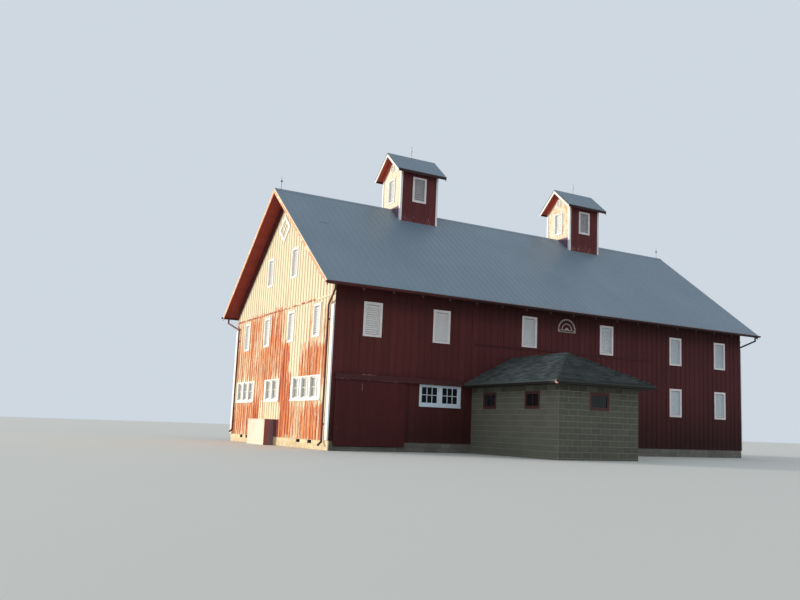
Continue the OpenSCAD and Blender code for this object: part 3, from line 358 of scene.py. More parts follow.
def wire_boards(w, given):
    """Random tone of each upright board, its joints, and streaks and grain that run upright."""
    place = w.place()
    side = w.over(w.size(w.looks()[0]), 0.5)
    across = w.mix_value(side, w.parts(place)[0], w.parts(place)[1])
    steps = w.math("DIVIDE", across, given["Spacing"])
    index = w.math("FLOOR", steps)
    tone = w.random(w.plus(index, w.times(side, OTHER_TONES)))
    middle = w.size(w.minus(w.math("FRACT", steps), 0.5))
    joint = w.spread(middle, 0.46, 0.49)
    streak = w.stretched_noise(place, (9.0, 9.0, 0.55), detail=4.0, roughness=0.6, seed=3.0)
    grain = w.stretched_noise(place, (70.0, 70.0, 2.2), detail=3.0, roughness=0.6, seed=5.0)
    return tone, joint, streak, grain


def wire_peel(w, given):
    """Upright streaks where paint is left, from none at amount 0 to all over at amount 1."""
    x, y, z = w.spot()
    wide = w.math("DIVIDE", 1.0, given["Width"])
    tall = w.math("DIVIDE", 1.0, given["Length"])
    stretched = w.vector(w.times(x, wide), w.times(y, wide), w.times(z, tall))
    broad = w.noise(stretched, 1.0, 5.0, 0.62, given["Seed"])
    fine = w.noise(stretched, 4.0, 3.0, 0.65, given["Seed"])
    level = w.plus(w.times(broad, 0.68), w.times(fine, 0.32))
    edge = w.minus(0.74, w.times(given["Amount"], 0.48))
    return (w.spread(level, w.minus(edge, 0.022), w.plus(edge, 0.022)),)


def wire_patch(w, given):
    """One upright oblong with soft edges."""
    soft = given["Softness"]
    tall = w.times(soft, 2.0)
    left = w.spread(given["Across"], w.minus(given["Left"], soft), w.plus(given["Left"], soft))
    right = w.spread(given["Across"], w.plus(given["Right"], soft), w.minus(given["Right"], soft))
    low = w.spread(given["Up"], w.minus(given["Low"], tall), w.plus(given["Low"], tall))
    high = w.spread(given["Up"], w.plus(given["High"], tall), w.minus(given["High"], tall))
    return (w.times(left, right, low, high),)


def wire_soil(w, given):
    """Splashed soil that fades out with height above the ground."""
    place = w.place()
    z = w.parts(place)[2]
    ragged = w.stretched_noise(place, (3.0, 3.0, 1.2), detail=5.0, roughness=0.65, seed=7.0)
    height = w.plus(z, w.sway(ragged, given["Height"]))
    mask = w.spread(height, given["Height"], w.times(given["Height"], 0.1))
    specks = w.noise(place, 38.0, detail=4.0, roughness=0.7, seed=9.0)
    return (w.times(mask, w.spread(specks, 0.25, 0.8)),)


def wire_mottle(w, given):
    """Soft large and small clouds for an even surface."""
    place = w.place()
    large = w.noise(place, given["Large"], 4.0, 0.55, given["Seed"])
    small = w.noise(place, given["Small"], 5.0, 0.65, given["Seed"])
    return large, small


def wire_outside(w, _):
    """1 on the weather side of the barn's walls, and 1 on what faces out of the near gable."""
    x, y, _ = w.spot()
    nx = w.looks()[0]
    outside = w.most(w.over(w.size(x), END_X - TINY), w.over(w.size(y), SIDE_Y - TINY))
    near = w.times(w.under(x, TINY - END_X), w.under(nx, -0.5))
    return outside, near


def wire_cupola(w, _):
    """Where a point of a cupola lies: outside of its shaft, on its near face, proud of its walls, in the
    vent of its near face, how far from its middle, and how far along the ridge."""
    x, y, _ = w.spot()
    nx = w.looks()[0]
    off = w.minus(x, w.mix_value(w.over(x, 0.0), CUPOLA_XS[0], CUPOLA_XS[1]))
    reach = w.most(w.size(off), w.size(y))
    near = w.times(w.under(off, TINY - CUPOLA_HALF), w.under(nx, -0.5))
    inner = CUPOLA_HALF - CUPOLA_WALL
    in_vent = w.times(w.under(off, -inner), w.under(w.size(y), inner))
    return w.over(reach, CUPOLA_HALF - TINY), near, w.over(reach, CUPOLA_HALF + TINY), in_vent, reach, off


boards_group = shader_group("upright boards", {"Spacing": BOARD_STEP},
                            ("Tone", "Joint", "Streak", "Grain"), wire_boards)
peel_group = shader_group("peeling paint", {"Amount": 0.3, "Width": 0.12, "Length": 1.2, "Seed": 0.0},
                          ("Mask",), wire_peel)
patch_group = shader_group("patch", {"Across": 0.0, "Up": 0.0, "Left": 0.0, "Right": 1.0, "Low": 0.0,
                                     "High": 1.0, "Softness": 0.1}, ("Mask",), wire_patch)
soil_group = shader_group("ground soil", {"Height": 0.6}, ("Mask",), wire_soil)
mottle_group = shader_group("mottle", {"Large": 0.6, "Small": 22.0, "Seed": 0.0},
                            ("Large", "Small"), wire_mottle)
outside_group = shader_group("faces of the barn", {}, ("Outside", "Near"), wire_outside)
cupola_group = shader_group("faces of a cupola", {},
                            ("Outside", "Near", "Proud", "In vent", "Reach", "Off"), wire_cupola)


def use(w, group, **inputs):
    """Places a shader group in a material and gives back its outputs by name."""
    made = w.add("ShaderNodeGroup", node_tree=group)
    for name, value in inputs.items():
        w.plug(made.inputs[name], value)
    return made.outputs


def planks(w, spacing):
    """Tone, joints, streaks and grain of upright boards."""
    return use(w, boards_group, Spacing=spacing)


def mottled(w, large, small, seed):
    """Large and small clouds, by how many of them fit in a metre."""
    return use(w, mottle_group, Large=large, Small=small, Seed=seed)


def flakes(w, amount, width, length, seed):
    """Mask of paint that is left in upright flakes of a width and a length."""
    return use(w, peel_group, Amount=amount, Width=width, Length=length, Seed=seed)["Mask"]


def soiled(w, colour, height, share):
    """Covers the foot of a wall with a share of splashed soil."""
    return w.cover(colour, use(w, soil_group, Height=height)["Mask"], share, SOIL)


def oblong(w, across, up, bounds, softness):
    """Mask of one upright oblong, whose bounds are its left, right, low and high edges."""
    left, right, low, high = bounds
    return use(w, patch_group, Across=across, Up=up, Left=left, Right=right, Low=low, High=high,
               Softness=softness)["Mask"]


def clouded(w, mottle, light, dark, low=0.3, high=0.7):
    """Two tones in soft clouds."""
    return w.mix(w.spread(mottle["Large"], low, high), light, dark)


def gloss(w, mottle, smooth, dull):
    """Roughness that varies between two values in small spots."""
    return w.spread(mottle["Small"], 0.3, 0.7, smooth, dull)


def material(name, wire, constants):
    """A material whose colour, roughness and height come from a function; constants go on the shader."""
    made = bpy.data.materials.new(name)
    made.use_nodes = True
    tree = made.node_tree
    tree.nodes.clear()
    w = Wiring(tree)
    shader = w.add("ShaderNodeBsdfPrincipled")
    for title, value in constants.items():
        shader.inputs[title].default_value = value
    colour, roughness, height, distance = wire(w)
    w.plug(shader.inputs["Base Color"], colour)
    w.plug(shader.inputs["Roughness"], roughness)
    if height is not None:
        bump = w.add("ShaderNodeBump", {"Strength": 1.0, "Distance": distance, "Height": height})
        w.plug(shader.inputs["Normal"], bump.outputs[0])
    out = w.add("ShaderNodeOutputMaterial")
    w.plug(out.inputs["Surface"], shader.outputs[0])
    made.diffuse_color = srgb(150, 150, 150)
    return made


# Colours
MAROON = srgb(96, 42, 40)
MAROON_FAR = srgb(88, 40, 41)
MAROON_WORN = srgb(112, 62, 58)
JOINT_DARK = srgb(40, 24, 24)
ORANGE = srgb(232, 142, 80)
DEEP_ORANGE = srgb(180, 70, 34)
CREAM = srgb(238, 229, 198)
TAN = srgb(222, 192, 142)
GREY_WOOD = srgb(150, 140, 130)
WHITE_PAINT = srgb(238, 238, 234)
RAKE_ORANGE = srgb(222, 158, 112)
RAKE_PALE = srgb(240, 222, 186)
# Brighter red of the soffit near the near end, which paints light thrown up from the sunlit gable
SOFFIT_RED = srgb(160, 61, 48)
CUPOLA_RED = srgb(212, 100, 76)
SOIL = srgb(96, 84, 66)
SKY_COLOUR = srgb(222, 232, 242)
RAW_TIMBER = srgb(142, 108, 74)
DARK_TIMBER = srgb(98, 72, 50)

# Stretches of the near gable where paint is left: from and to across (Y), from and to in height, amount
PAINT_LEFT = (
    (-6.2, 6.2, 0.0, 5.57, 0.36),
    (-1.30, -0.30, 5.60, 6.40, 0.36),
    (-2.60, -1.90, 5.75, 6.60, 0.34),
    (-5.2, -4.6, 5.60, 6.00, 0.34),
    (2.6, 3.6, 5.60, 6.20, 0.30),
    (4.75, 6.2, 4.20, 5.50, 0.46),
    (2.30, 3.95, 4.20, 5.55, 0.54),
    (-0.65, 1.10, 4.05, 5.55, 0.60),
    (-3.60, -1.90, 4.10, 5.50, 0.34),
    (-6.2, -5.00, 3.90, 5.20, 0.50),
    (1.90, 6.2, 2.70, 4.30, 0.56),
    (-0.70, 1.90, 2.60, 4.20, 0.60),
    (-1.55, -0.70, 2.60, 4.20, 0.74),
    (-2.70, -1.55, 2.40, 4.20, 0.28),
    (-5.50, -2.70, 2.40, 3.90, 0.63),
    (1.36, 2.77, 1.70, 2.80, 0.55),
    (-1.93, -0.54, 1.70, 2.70, 0.72),
    (3.00, 6.2, 0.20, 1.80, 0.62),
    (2.00, 3.00, 0.20, 1.80, 0.70),
    (-0.60, 1.60, 0.20, 1.75, 0.33),
    (-2.00, -0.75, 0.20, 1.75, 0.70),
    (-3.20, -2.00, 0.20, 1.70, 0.58),
    (-5.60, -3.20, 0.20, 1.70, 0.62),
)
# Under the rear rake the paint is kept whole over this width of the near gable, and the rake's shadow is
# painted over it in dark red
SOUND_PAINT_AND_SHADOW_BAND = 0.565
# The same on the cupolas
CUPOLA_SOUND_PAINT_AND_SHADOW_BAND = 0.42
# Width of the bin's shadow painted on the wall beside it
BIN_SHADOW_STRIP = 0.58
# Small marks (left, right, low and high edge): on the door's leaf, on its hood, and on the roof
DOOR_SCRAPE = (-9.50, -9.46, 2.15, 2.42)
HOOD_SCRAPE = (-9.50, -8.95, TRACK_LOW_Z + 0.20, TRACK_LOW_Z + 0.23)
ROOF_SCUFF = (-9.85, -9.40, -2.46, -2.34)
# Stretches along the barn (X) over which the tone of the siding, the slats and the eaves changes
SIDING_FADE, SLAT_FADE, EAVE_FADE = (-9.0, 7.0), (-9.0, 9.0), (-8.0, -3.0)
# How far from the near end the soffit is a brighter red that paints light thrown up from the sunlit gable,
# the slats are white as painted sunlight and the stones are cream as painted sunlight
SOFFIT_LIT, SLATS_LIT, STONES_LIT = 2.0, 0.2, 0.04
# Heights between which painted shade darkens the foot of the red walls, and drops from the eave for the
# painted shade under it
FOOT_PAINTED_SHADE, EAVE_SHADE = (3.2, 0.2), (1.0, 0.35)
# Distances from the ridge's height: worn paint of the cupolas, and where their near face turns pale above
# the painted shadow of the main ridge
CUPOLA_WEAR, CUPOLA_PALE = (0.25, -0.7), (-0.02, 0.06)
# Heights of the soffit's rows, depth of the metal on the roof, and radius of the lightning rods
SOFFIT_ROW, METAL_DEPTH, ROD_R = 0.14, 0.012, 0.014
# Drops from the milk house's eave between which painted shade under it comes in on the blocks
MILK_EAVE_SHADE = (0.30, 0.15)
SIDING_ROUGH = 0.82


def rear_rake_band(w, top, fall, width):
    """1 in a band under the rear rake, where the paint is kept whole and the rake's shadow is painted."""
    _, y, z = w.spot()
    below = w.minus(w.minus(top, w.times(w.size(y), fall)), z)
    return w.times(w.under(below, width), w.over(y, 0.0))


def near_gable_look(w, tanned):
    """Boards bleached to cream in the sun, where orange-red paint is left in upright streaks; tanned is
    the least share of tan in the bare wood."""
    boards = planks(w, BOARD_STEP)
    place = w.place()
    _, y, z = w.parts(place)
    ragged = w.stretched_noise(place, (3.0, 3.0, 1.0), detail=3.0, roughness=0.6, seed=21.0)
    across = w.plus(y, w.sway(ragged, 0.5))
    up = w.plus(z, w.sway(w.random(w.math("FLOOR", w.times(y, 9.0))), 0.5))
    amount = 0.17
    for *bounds, share in PAINT_LEFT:
        amount = w.mix_value(oblong(w, across, up, bounds, 0.08), amount, share)
    amount = w.plus(amount, w.sway(boards["Tone"], 0.16))
    peel = flakes(w, amount, 0.085, 1.5, seed=1.0)
    deep = w.spread(w.plus(boards["Streak"], w.times(amount, 0.4)), 0.66, 0.88)
    paint = w.mix(deep, ORANGE, DEEP_ORANGE)
    thin = flakes(w, 0.36, 0.03, 2.0, seed=6.0)
    bare = w.cover(CREAM, w.most(thin, tanned), 0.7, TAN)
    colour = w.mix(peel, bare, paint)
    # The dark line at each batten is partly the boards' joint and partly the battens' shadows, painted in
    line = w.mix(peel, srgb(176, 130, 84), srgb(140, 56, 30))
    colour = w.cover(colour, boards["Joint"], 0.55, line)
    # Painted shadow of the rear rake, on paint kept whole under it
    sound_and_shadow = rear_rake_band(w, RIDGE_H - DECK_DROP, ROOF_SLOPE, SOUND_PAINT_AND_SHADOW_BAND)
    colour = w.mix(sound_and_shadow, colour, MAROON)
    # Painted shadow of the bin on the gable wall
    bin_shadow = w.times(w.under(z, BIN_HIGH.z), w.under(y, BIN_LOW.y), w.over(y, BIN_LOW.y - BIN_SHADOW_STRIP))
    colour = w.mix(bin_shadow, colour, srgb(124, 58, 60))
    height = w.minus(w.plus(w.times(boards["Grain"], 0.25), w.times(peel, 0.6)), boards["Joint"])
    return colour, height


def maroon_look(w):
    """Sound dark red paint on upright boards, a little worn, with painted shade low down and under the
    eaves.
    """
    boards = planks(w, BOARD_STEP)
    place = w.place()
    x, y, z = w.parts(place)
    clouds = w.stretched_noise(place, (0.5, 0.5, 0.35), detail=3.0, roughness=0.55, seed=23.0)
    colour = w.mix(w.spread(x, *SIDING_FADE), MAROON, MAROON_FAR)
    worn = flakes(w, 0.20, 0.05, 0.9, seed=4.0)
    colour = w.cover(colour, worn, 0.30, MAROON_WORN)
    shade = w.plus(0.88, w.sway(boards["Tone"], 0.16), w.sway(clouds, 0.5))
    shade = w.plus(shade, w.sway(boards["Streak"], 0.35))
    # Painted shade: the foot of the walls darkens towards the ground
    low = w.times(w.spread(z, *FOOT_PAINTED_SHADE), w.spread(x, 9.0, -6.0, 0.60, 0.54))
    shade = w.times(shade, w.minus(1.0, low))
    # Painted shade under the eaves of the long walls
    eave = w.times(w.spread(z, EAVE_H - EAVE_SHADE[0], EAVE_H - EAVE_SHADE[1]),
                   w.over(w.size(y), SIDE_Y - TINY), 0.38)
    shade = w.times(shade, w.minus(1.0, eave))
    colour = w.dim(colour, shade)
    colour = w.cover(colour, boards["Joint"], 0.08, JOINT_DARK)
    return colour, w.minus(w.times(boards["Grain"], 0.25), w.times(boards["Joint"], 0.3))


def timber_colour(w):
    """Bare brown timber with grain."""
    grain = planks(w, 0.25)["Grain"]
    return w.mix(grain, RAW_TIMBER, DARK_TIMBER)


def siding_wire(w):
    """Walls: red outside, bleached on the near gable, bare timber inside."""
    faces = use(w, outside_group)
    red, red_height = maroon_look(w)
    bleached, bleached_height = near_gable_look(w, 0.0)
    colour = w.mix(faces["Near"], red, bleached)
    colour = w.mix(faces["Outside"], timber_colour(w), colour)
    colour = soiled(w, colour, 0.6, 0.25)
    return colour, SIDING_ROUGH, w.mix_value(faces["Near"], red_height, bleached_height), 0.004


def gable_batten_wire(w):
    """Battens of the near gable."""
    colour, height = near_gable_look(w, 0.7)
    return colour, SIDING_ROUGH, height, 0.003


def batten_wire(w):
    """Battens of the other walls."""
    colour, height = maroon_look(w)
    return colour, SIDING_ROUGH, height, 0.003


def door_wire(w):
    """The door's leaf: dull red boards with a few light scrapes, worn joints and painted shade towards its
    foot.
    """
    boards = planks(w, 0.2)
    place = w.place()
    x, _, z = w.parts(place)
    clouds = w.stretched_noise(place, (0.9, 0.9, 0.5), detail=3.0, roughness=0.55, seed=41.0)
    shade = w.plus(0.86, w.sway(clouds, 0.4), w.sway(boards["Tone"], 0.12))
    # Painted shade: the leaf darkens towards its foot
    shade = w.times(shade, w.spread(z, 0.0, 2.2, 0.80, 1.0))
    colour = w.dim(srgb(84, 31, 30), shade)
    scraped = flakes(w, 0.17, 0.03, 0.5, seed=43.0)
    colour = w.cover(colour, scraped, 0.5, GREY_WOOD)
    colour = w.cover(colour, oblong(w, x, z, DOOR_SCRAPE, 0.01), 0.22, srgb(186, 150, 146))
    colour = w.cover(colour, boards["Joint"], 0.3, JOINT_DARK)
    return colour, 0.8, w.minus(w.times(boards["Grain"], 0.2), boards["Joint"]), 0.003


def cupola_trim_wire(w):
    """The cupolas' white boards, of which the corner boards are red in the shelter of the rear rake, where
    paint is kept whole and the rake's shadow is painted in.
    """
    faces = use(w, cupola_group)
    colour, rough, height, distance = trim_wire(w)
    near_half = w.times(w.under(faces["Off"], 0.0), w.over(faces["Off"], -0.05 - CUPOLA_HALF))
    # Painted shadow of the rear rake on the near corner boards, on paint kept whole
    sound_and_shadow = rear_rake_band(w, CUPOLA_TOP, CUPOLA_FALL, CUPOLA_SOUND_PAINT_AND_SHADOW_BAND)
    return w.mix(w.times(sound_and_shadow, near_half), colour, CUPOLA_RED), rough, height, distance


def cupola_wire(w):
    """Cupola boards: cream with patches of orange on the near face above the ridge, dark purple below it
    as the main ridge's shadow painted on unbleached paint, red elsewhere.
    """
    faces = use(w, cupola_group)
    boards = planks(w, CUPOLA_BOARD_STEP)
    x, _, z = w.spot()
    peel = flakes(w, w.mix_value(w.over(x, 0.0), 0.34, 0.42), 0.10, 0.55, seed=45.0)
    bleached = w.mix(peel, srgb(242, 234, 208), srgb(230, 166, 100))
    bleached = w.cover(bleached, boards["Joint"], 0.4, TAN)
    shade = w.plus(0.9, w.sway(boards["Tone"], 0.25), w.sway(boards["Streak"], 0.3))
    red = w.dim(srgb(108, 50, 50), shade)
    worn_at = w.spread(z, RIDGE_H + CUPOLA_WEAR[0], RIDGE_H + CUPOLA_WEAR[1], 0.0, 0.37)
    worn = flakes(w, worn_at, 0.045, 0.35, seed=47.0)
    red = w.cover(red, worn, 0.55, srgb(206, 150, 144))
    red = w.cover(red, boards["Joint"], 0.3, JOINT_DARK)
    # Painted shadow of the rear rake on the near face, on paint kept whole
    sound_and_shadow = rear_rake_band(w, CUPOLA_TOP, CUPOLA_FALL, CUPOLA_SOUND_PAINT_AND_SHADOW_BAND)
    bleached = w.mix(sound_and_shadow, bleached, CUPOLA_RED)
    # Painted shadow of the main ridge on the near face below the ridge's height, on unbleached paint
    high = w.spread(z, RIDGE_H + CUPOLA_PALE[0], RIDGE_H + CUPOLA_PALE[1])
    near = w.mix(high, srgb(118, 88, 106), bleached)
    colour = w.mix(faces["Near"], red, near)
    colour = w.mix(faces["Outside"], timber_colour(w), colour)
    return colour, 0.8, w.minus(w.times(boards["Grain"], 0.25), boards["Joint"]), 0.003


def trim_wire(w):
    """White paint with grain, fine cracks and a little soil."""
    boards = planks(w, 0.8)
    peel = flakes(w, 0.14, 0.04, 0.25, seed=8.0)
    mottle = mottled(w, 1.4, 30.0, seed=2.0)
    colour = clouded(w, mottle, WHITE_PAINT, srgb(226, 222, 216), 0.35, 0.7)
    colour = w.cover(colour, peel, 0.6, GREY_WOOD)
    colour = soiled(w, colour, 0.8, 0.35)
    height = w.minus(w.times(boards["Grain"], 0.3), w.times(peel, 0.7))
    return colour, gloss(w, mottle, 0.5, 0.7), height, 0.003


def window_wire(w):
    """White paint mixed with a pale blue on the frames of the long walls."""
    colour, rough, height, distance = trim_wire(w)
    return w.mix(0.7, colour, srgb(206, 222, 236)), rough, height, distance


def sign_wire(w):
    """Weathered pinkish grey paint of the half-round panel, whose lower bar is dark."""
    mottle = mottled(w, 2.4, 36.0, seed=49.0)
    colour = clouded(w, mottle, srgb(200, 178, 176), srgb(172, 150, 148), 0.35, 0.7)
    x, _, z = w.spot()
    bar = w.times(w.over(z, SIGN_LOW.z + 0.022), w.under(z, SIGN_LOW.z + 0.090),
                  w.over(x, SIGN_LOW.x + 0.06), w.under(x, SIGN_HIGH.x - 0.06))
    colour = w.mix(bar, colour, srgb(92, 84, 72))
    return colour, 0.75, mottle["Small"], 0.002


def louvre_wire(w):
    """White casings; slats grey in front, dull grey on the cupolas as painted shade, and white on the near
    gable and in the cupolas' near vents as painted sunlight.
    """
    boards = planks(w, 0.9)
    mottle = mottled(w, 2.0, 26.0, seed=4.0)
    x, y, z = w.spot()
    faces = use(w, cupola_group)
    on_cupola = w.over(z, RIDGE_H)
    proud = w.most(w.over(w.size(x), END_X + TINY), w.over(w.size(y), SIDE_Y + TINY))
    proud = w.mix_value(on_cupola, proud, faces["Proud"])
    slats = w.mix(w.spread(x, *SLAT_FADE), srgb(240, 236, 232), srgb(216, 222, 226))
    # Painted shade: the cupolas' slats are dull grey
    slats = w.mix(on_cupola, slats, srgb(188, 184, 182))
    # Painted sunlight: slats of the near gable and of the cupolas' near vents are white
    near = w.most(w.under(x, SLATS_LIT - END_X), w.times(on_cupola, faces["In vent"]))
    slats = w.mix(near, slats, srgb(252, 252, 248))
    drips = w.spread(boards["Streak"], 0.55, 0.8)
    slats = w.cover(slats, drips, 0.20, srgb(150, 150, 140))
    casing = clouded(w, mottle, srgb(238, 232, 230), srgb(226, 214, 212))
    colour = w.mix(proud, slats, casing)
    return colour, gloss(w, mottle, 0.5, 0.7), mottle["Small"], 0.0015


def roof_metal_wire(w):
    """Painted steel sheets, each a little different, with rain streaks down the slope."""
    place = w.place()
    x, y, _ = w.parts(place)
    sheet = w.random(w.math("FLOOR", w.math("DIVIDE", x, 3 * RIB_STEP)))
    mottle = mottled(w, 0.35, 16.0, seed=6.0)
    streak = w.stretched_noise(place, (7.0, 0.35, 0.35), detail=4.0, roughness=0.6, seed=11.0)
    colour = clouded(w, mottle, srgb(110, 128, 141), srgb(117, 134, 147))
    colour = w.cover(colour, sheet, 0.25, srgb(105, 122, 136))
    colour = w.cover(colour, w.spread(streak, 0.5, 0.8), 0.18, srgb(92, 105, 114))
    scuff = oblong(w, w.plus(x, w.times(streak, 0.5)), y, ROOF_SCUFF, 0.03)
    colour = w.cover(colour, scuff, 0.55, srgb(86, 88, 106))
    rust = w.stretched_noise(place, (5.0, 1.2, 1.2), detail=6.0, roughness=0.7, seed=13.0)
    colour = w.cover(colour, w.spread(rust, 0.72, 0.80), 0.20, srgb(100, 84, 74))
    return colour, gloss(w, mottle, 0.42, 0.55), mottle["Large"], 0.004


def roof_wire(w):
    """Metal on the weather side; red boards and rafters below it, brighter near the near end as painted
    bounce light; a painted shade line at the eave edge; pale near ends as a painted highlight; worn tails.
    """
    x, y, z = w.spot()
    depth = w.minus(RIDGE_H, w.plus(z, w.times(w.size(y), ROOF_SLOPE)))
    metal = w.under(depth, METAL_DEPTH)
    steel, rough, height, _ = roof_metal_wire(w)
    boards = planks(w, 0.2)
    painted = w.most(w.over(w.size(y), SIDE_Y - 0.05), w.over(w.size(x), END_X - 0.02))
    rows = w.random(w.math("FLOOR", w.math("DIVIDE", z, SOFFIT_ROW)))
    red = w.cover(SOFFIT_RED, rows, 0.5, srgb(126, 50, 40))
    red = w.cover(red, w.spread(boards["Streak"], 0.5, 0.75), 0.3, srgb(90, 40, 36))
    # Painted bounce light: the soffit is the brighter red near the near end, maroon further on
    red = w.mix(w.over(x, SOFFIT_LIT - END_X), red, MAROON)
    under = w.mix(painted, timber_colour(w), red)
    tail = w.times(w.over(w.size(y), ROOF_Y - 0.030), w.over(depth, DECK_DROP))
    under = w.mix(tail, under, srgb(70, 62, 56))
    # Painted shade: the deck's edge at the eaves is near black, for the dark line under the roof's edge
    eave_edge_shade = w.times(w.over(w.size(y), ROOF_Y - 0.010), w.under(depth, DECK_DROP))
    under = w.mix(eave_edge_shade, under, srgb(34, 24, 24))
    # Painted highlight: the deck's ends at the near gable are pale where the sun catches them
    under = w.mix(w.under(x, TINY - ROOF_X), under, RAKE_PALE)
    colour = w.mix(metal, under, steel)
    grain = w.times(boards["Grain"], w.minus(1.0, metal))
    return colour, w.mix_value(metal, 0.8, rough), w.plus(grain, w.times(height, metal)), 0.004


def cupola_roof_wire(w):
    """Metal above, red boards below."""
    nz = w.looks()[2]
    steel, rough, height, _ = roof_metal_wire(w)
    grain = planks(w, 0.12)["Grain"]
    red = w.mix(grain, CUPOLA_RED, srgb(186, 84, 62))
    edge = w.under(w.size(nz), 0.2)
    colour = w.mix(edge, w.mix(w.under(nz, 0.0), steel, red), srgb(58, 36, 38))
    return colour, w.mix_value(w.under(nz, 0.2), rough, 0.8), height, 0.003


def rake_wire(w):
    """Rake boards: orange and cream at the near end, where the sun reaches, and dark red elsewhere."""
    nx = w.looks()[0]
    x = w.spot()[0]
    peel = flakes(w, 0.42, 0.4, 0.4, seed=2.0)
    lit = w.mix(peel, RAKE_ORANGE, RAKE_PALE)
    near = w.times(w.under(x, -END_X), w.under(nx, -0.5))
    # The rake's underside at the near end gets the soffit's brighter red, painted bounce light
    return w.mix(near, w.mix(w.under(x, -END_X), MAROON, SOFFIT_RED), lit), 0.75, peel, 0.002


def belt_wire(w):
    """Drip boards: broken orange-red paint on the near gable, dark red elsewhere."""
    x, y, _ = w.spot()
    left = w.spread(y, -5.0, -3.6, 0.30, 0.58)
    peel = flakes(w, left, 0.25, 0.25, seed=51.0)
    lit = w.mix(peel, CREAM, DEEP_ORANGE)
    return w.mix(w.under(x, TINY - END_X), srgb(76, 32, 31), lit), 0.78, peel, 0.002


def eave_wire(w):
    """Fascias, gutters and the track's hood: dull dark red with a painted highlight along the gutter's
    lip.
    """
    x, y, z = w.spot()
    mottle = mottled(w, 1.1, 24.0, seed=12.0)
    colour = clouded(w, mottle, srgb(92, 42, 40), srgb(80, 38, 37))
    colour = w.mix(w.spread(x, *EAVE_FADE), colour, srgb(58, 34, 35))
    # Painted highlight of the sun along the gutter's lip, faded out towards the near end
    lip = w.times(w.over(z, GUTTER_TOP - 0.012), w.over(w.size(y), ROOF_Y + 0.01))
    colour = w.mix(w.times(lip, w.spread(x, *EAVE_FADE)), colour, srgb(190, 170, 172))
    colour = w.mix(w.over(z, RIDGE_H), colour, srgb(52, 27, 28))
    return colour, gloss(w, mottle, 0.5, 0.75), mottle["Small"], 0.002


def hood_wire(w):
    """The door track's hood: dark red with a few flakes of light paint along its lower edge."""
    x, _, z = w.spot()
    colour, rough, height, distance = eave_wire(w)
    low = w.spread(z, TRACK_LOW_Z + 0.09, TRACK_LOW_Z + 0.02)
    loose = flakes(w, w.times(low, 0.30), 0.22, 0.04, seed=53.0)
    wood = w.mix(0.75, colour, srgb(72, 29, 28))
    scrape = oblong(w, x, z, HOOD_SCRAPE, 0.01)
    spots = w.spread(mottled(w, 9.0, 40.0, seed=61.0)["Large"], 0.42, 0.5)
    wood = w.cover(wood, scrape, spots, srgb(206, 158, 150))
    return w.mix(w.times(loose, 0.8), wood, srgb(170, 130, 126)), rough, height, distance


def spout_wire(w):
    """Downspouts: brown in the sun, nearly black in the shade."""
    x = w.spot()[0]
    mottle = mottled(w, 1.6, 30.0, seed=55.0)
    colour = clouded(w, mottle, srgb(104, 56, 34), srgb(84, 44, 30), 0.35, 0.65)
    return w.mix(w.over(x, 0.0), colour, srgb(52, 52, 56)), 0.6, mottle["Small"], 0.001


def stone_colour(w, tone):
    """Limestone: cream on the near gable as painted sunlight, dull grey-brown on the other sides as
    painted shade.
    """
    x = w.spot()[0]
    # Painted sunlight on the near gable's stones, painted shade on the others
    lit = w.mix(tone, srgb(246, 228, 188), srgb(232, 208, 164))
    dull = w.mix(tone, srgb(124, 122, 114), srgb(104, 100, 94))
    return w.mix(w.under(x, STONES_LIT - END_X), dull, lit)


def stone_wire(w):
    """Limestone, each stone with a tone of its own."""
    mottle = mottled(w, 3.0, 34.0, seed=16.0)
    colour = stone_colour(w, w.attribute("tone"))
    colour = w.dim(colour, w.spread(mottle["Large"], 0.4, 0.75, 1.0, 0.8))
    colour = soiled(w, colour, 0.30, 0.35)
    return colour, 0.9, w.plus(mottle["Small"], mottle["Large"]), 0.012


def mortar_wire(w):
    """Lime mortar and rough masonry behind the stones."""
    mottle = mottled(w, 4.0, 60.0, seed=18.0)
    # The mortar takes the stones' painted sunlight and shade too
    colour = w.dim(stone_colour(w, mottle["Large"]), 0.8)
    return colour, 0.92, mottle["Small"], 0.006


def concrete_wire(w):
    """Trowelled concrete with dust, pores and darker traffic marks."""
    mottle = mottled(w, 0.5, 45.0, seed=20.0)
    pores = w.spread(w.noise(w.place(), 90.0, detail=2.0, roughness=0.5, seed=22.0), 0.68, 0.74)
    colour = clouded(w, mottle, srgb(132, 128, 120), srgb(104, 100, 92))
    colour = w.cover(colour, pores, 0.6, srgb(84, 80, 74))
    return colour, gloss(w, mottle, 0.75, 0.92), w.minus(mottle["Small"], pores), 0.003


def block_wire(w):
    """Concrete blocks: a tone for each block, open grain, and painted shade under the eave and on the
    front faces.
    """
    tone = w.attribute("tone")
    mottle = mottled(w, 1.3, 70.0, seed=24.0)
    colour = w.mix(tone, srgb(110, 108, 95), srgb(102, 101, 89))
    # Painted shade: the front faces are darker than the side faces
    colour = w.dim(colour, w.mix_value(w.under(w.looks()[1], -0.5), 1.0, 0.70))
    # Painted shade under the eave, stronger on some blocks
    under_eave = w.spread(w.spot()[2], MILK_WALL_H - MILK_EAVE_SHADE[0], MILK_WALL_H - MILK_EAVE_SHADE[1])
    painted_eave_shade = w.times(under_eave, w.spread(tone, 0.2, 0.6, 0.4, 1.0))
    colour = w.cover(colour, painted_eave_shade, 0.6, srgb(60, 54, 44))
    colour = w.cover(colour, w.spread(mottle["Large"], 0.5, 0.75), 0.3, srgb(78, 77, 68))
    pits = w.spread(mottle["Small"], 0.62, 0.75)
    colour = w.cover(colour, pits, 0.5, srgb(56, 55, 48))
    return colour, 0.92, w.minus(mottle["Small"], pits), 0.006


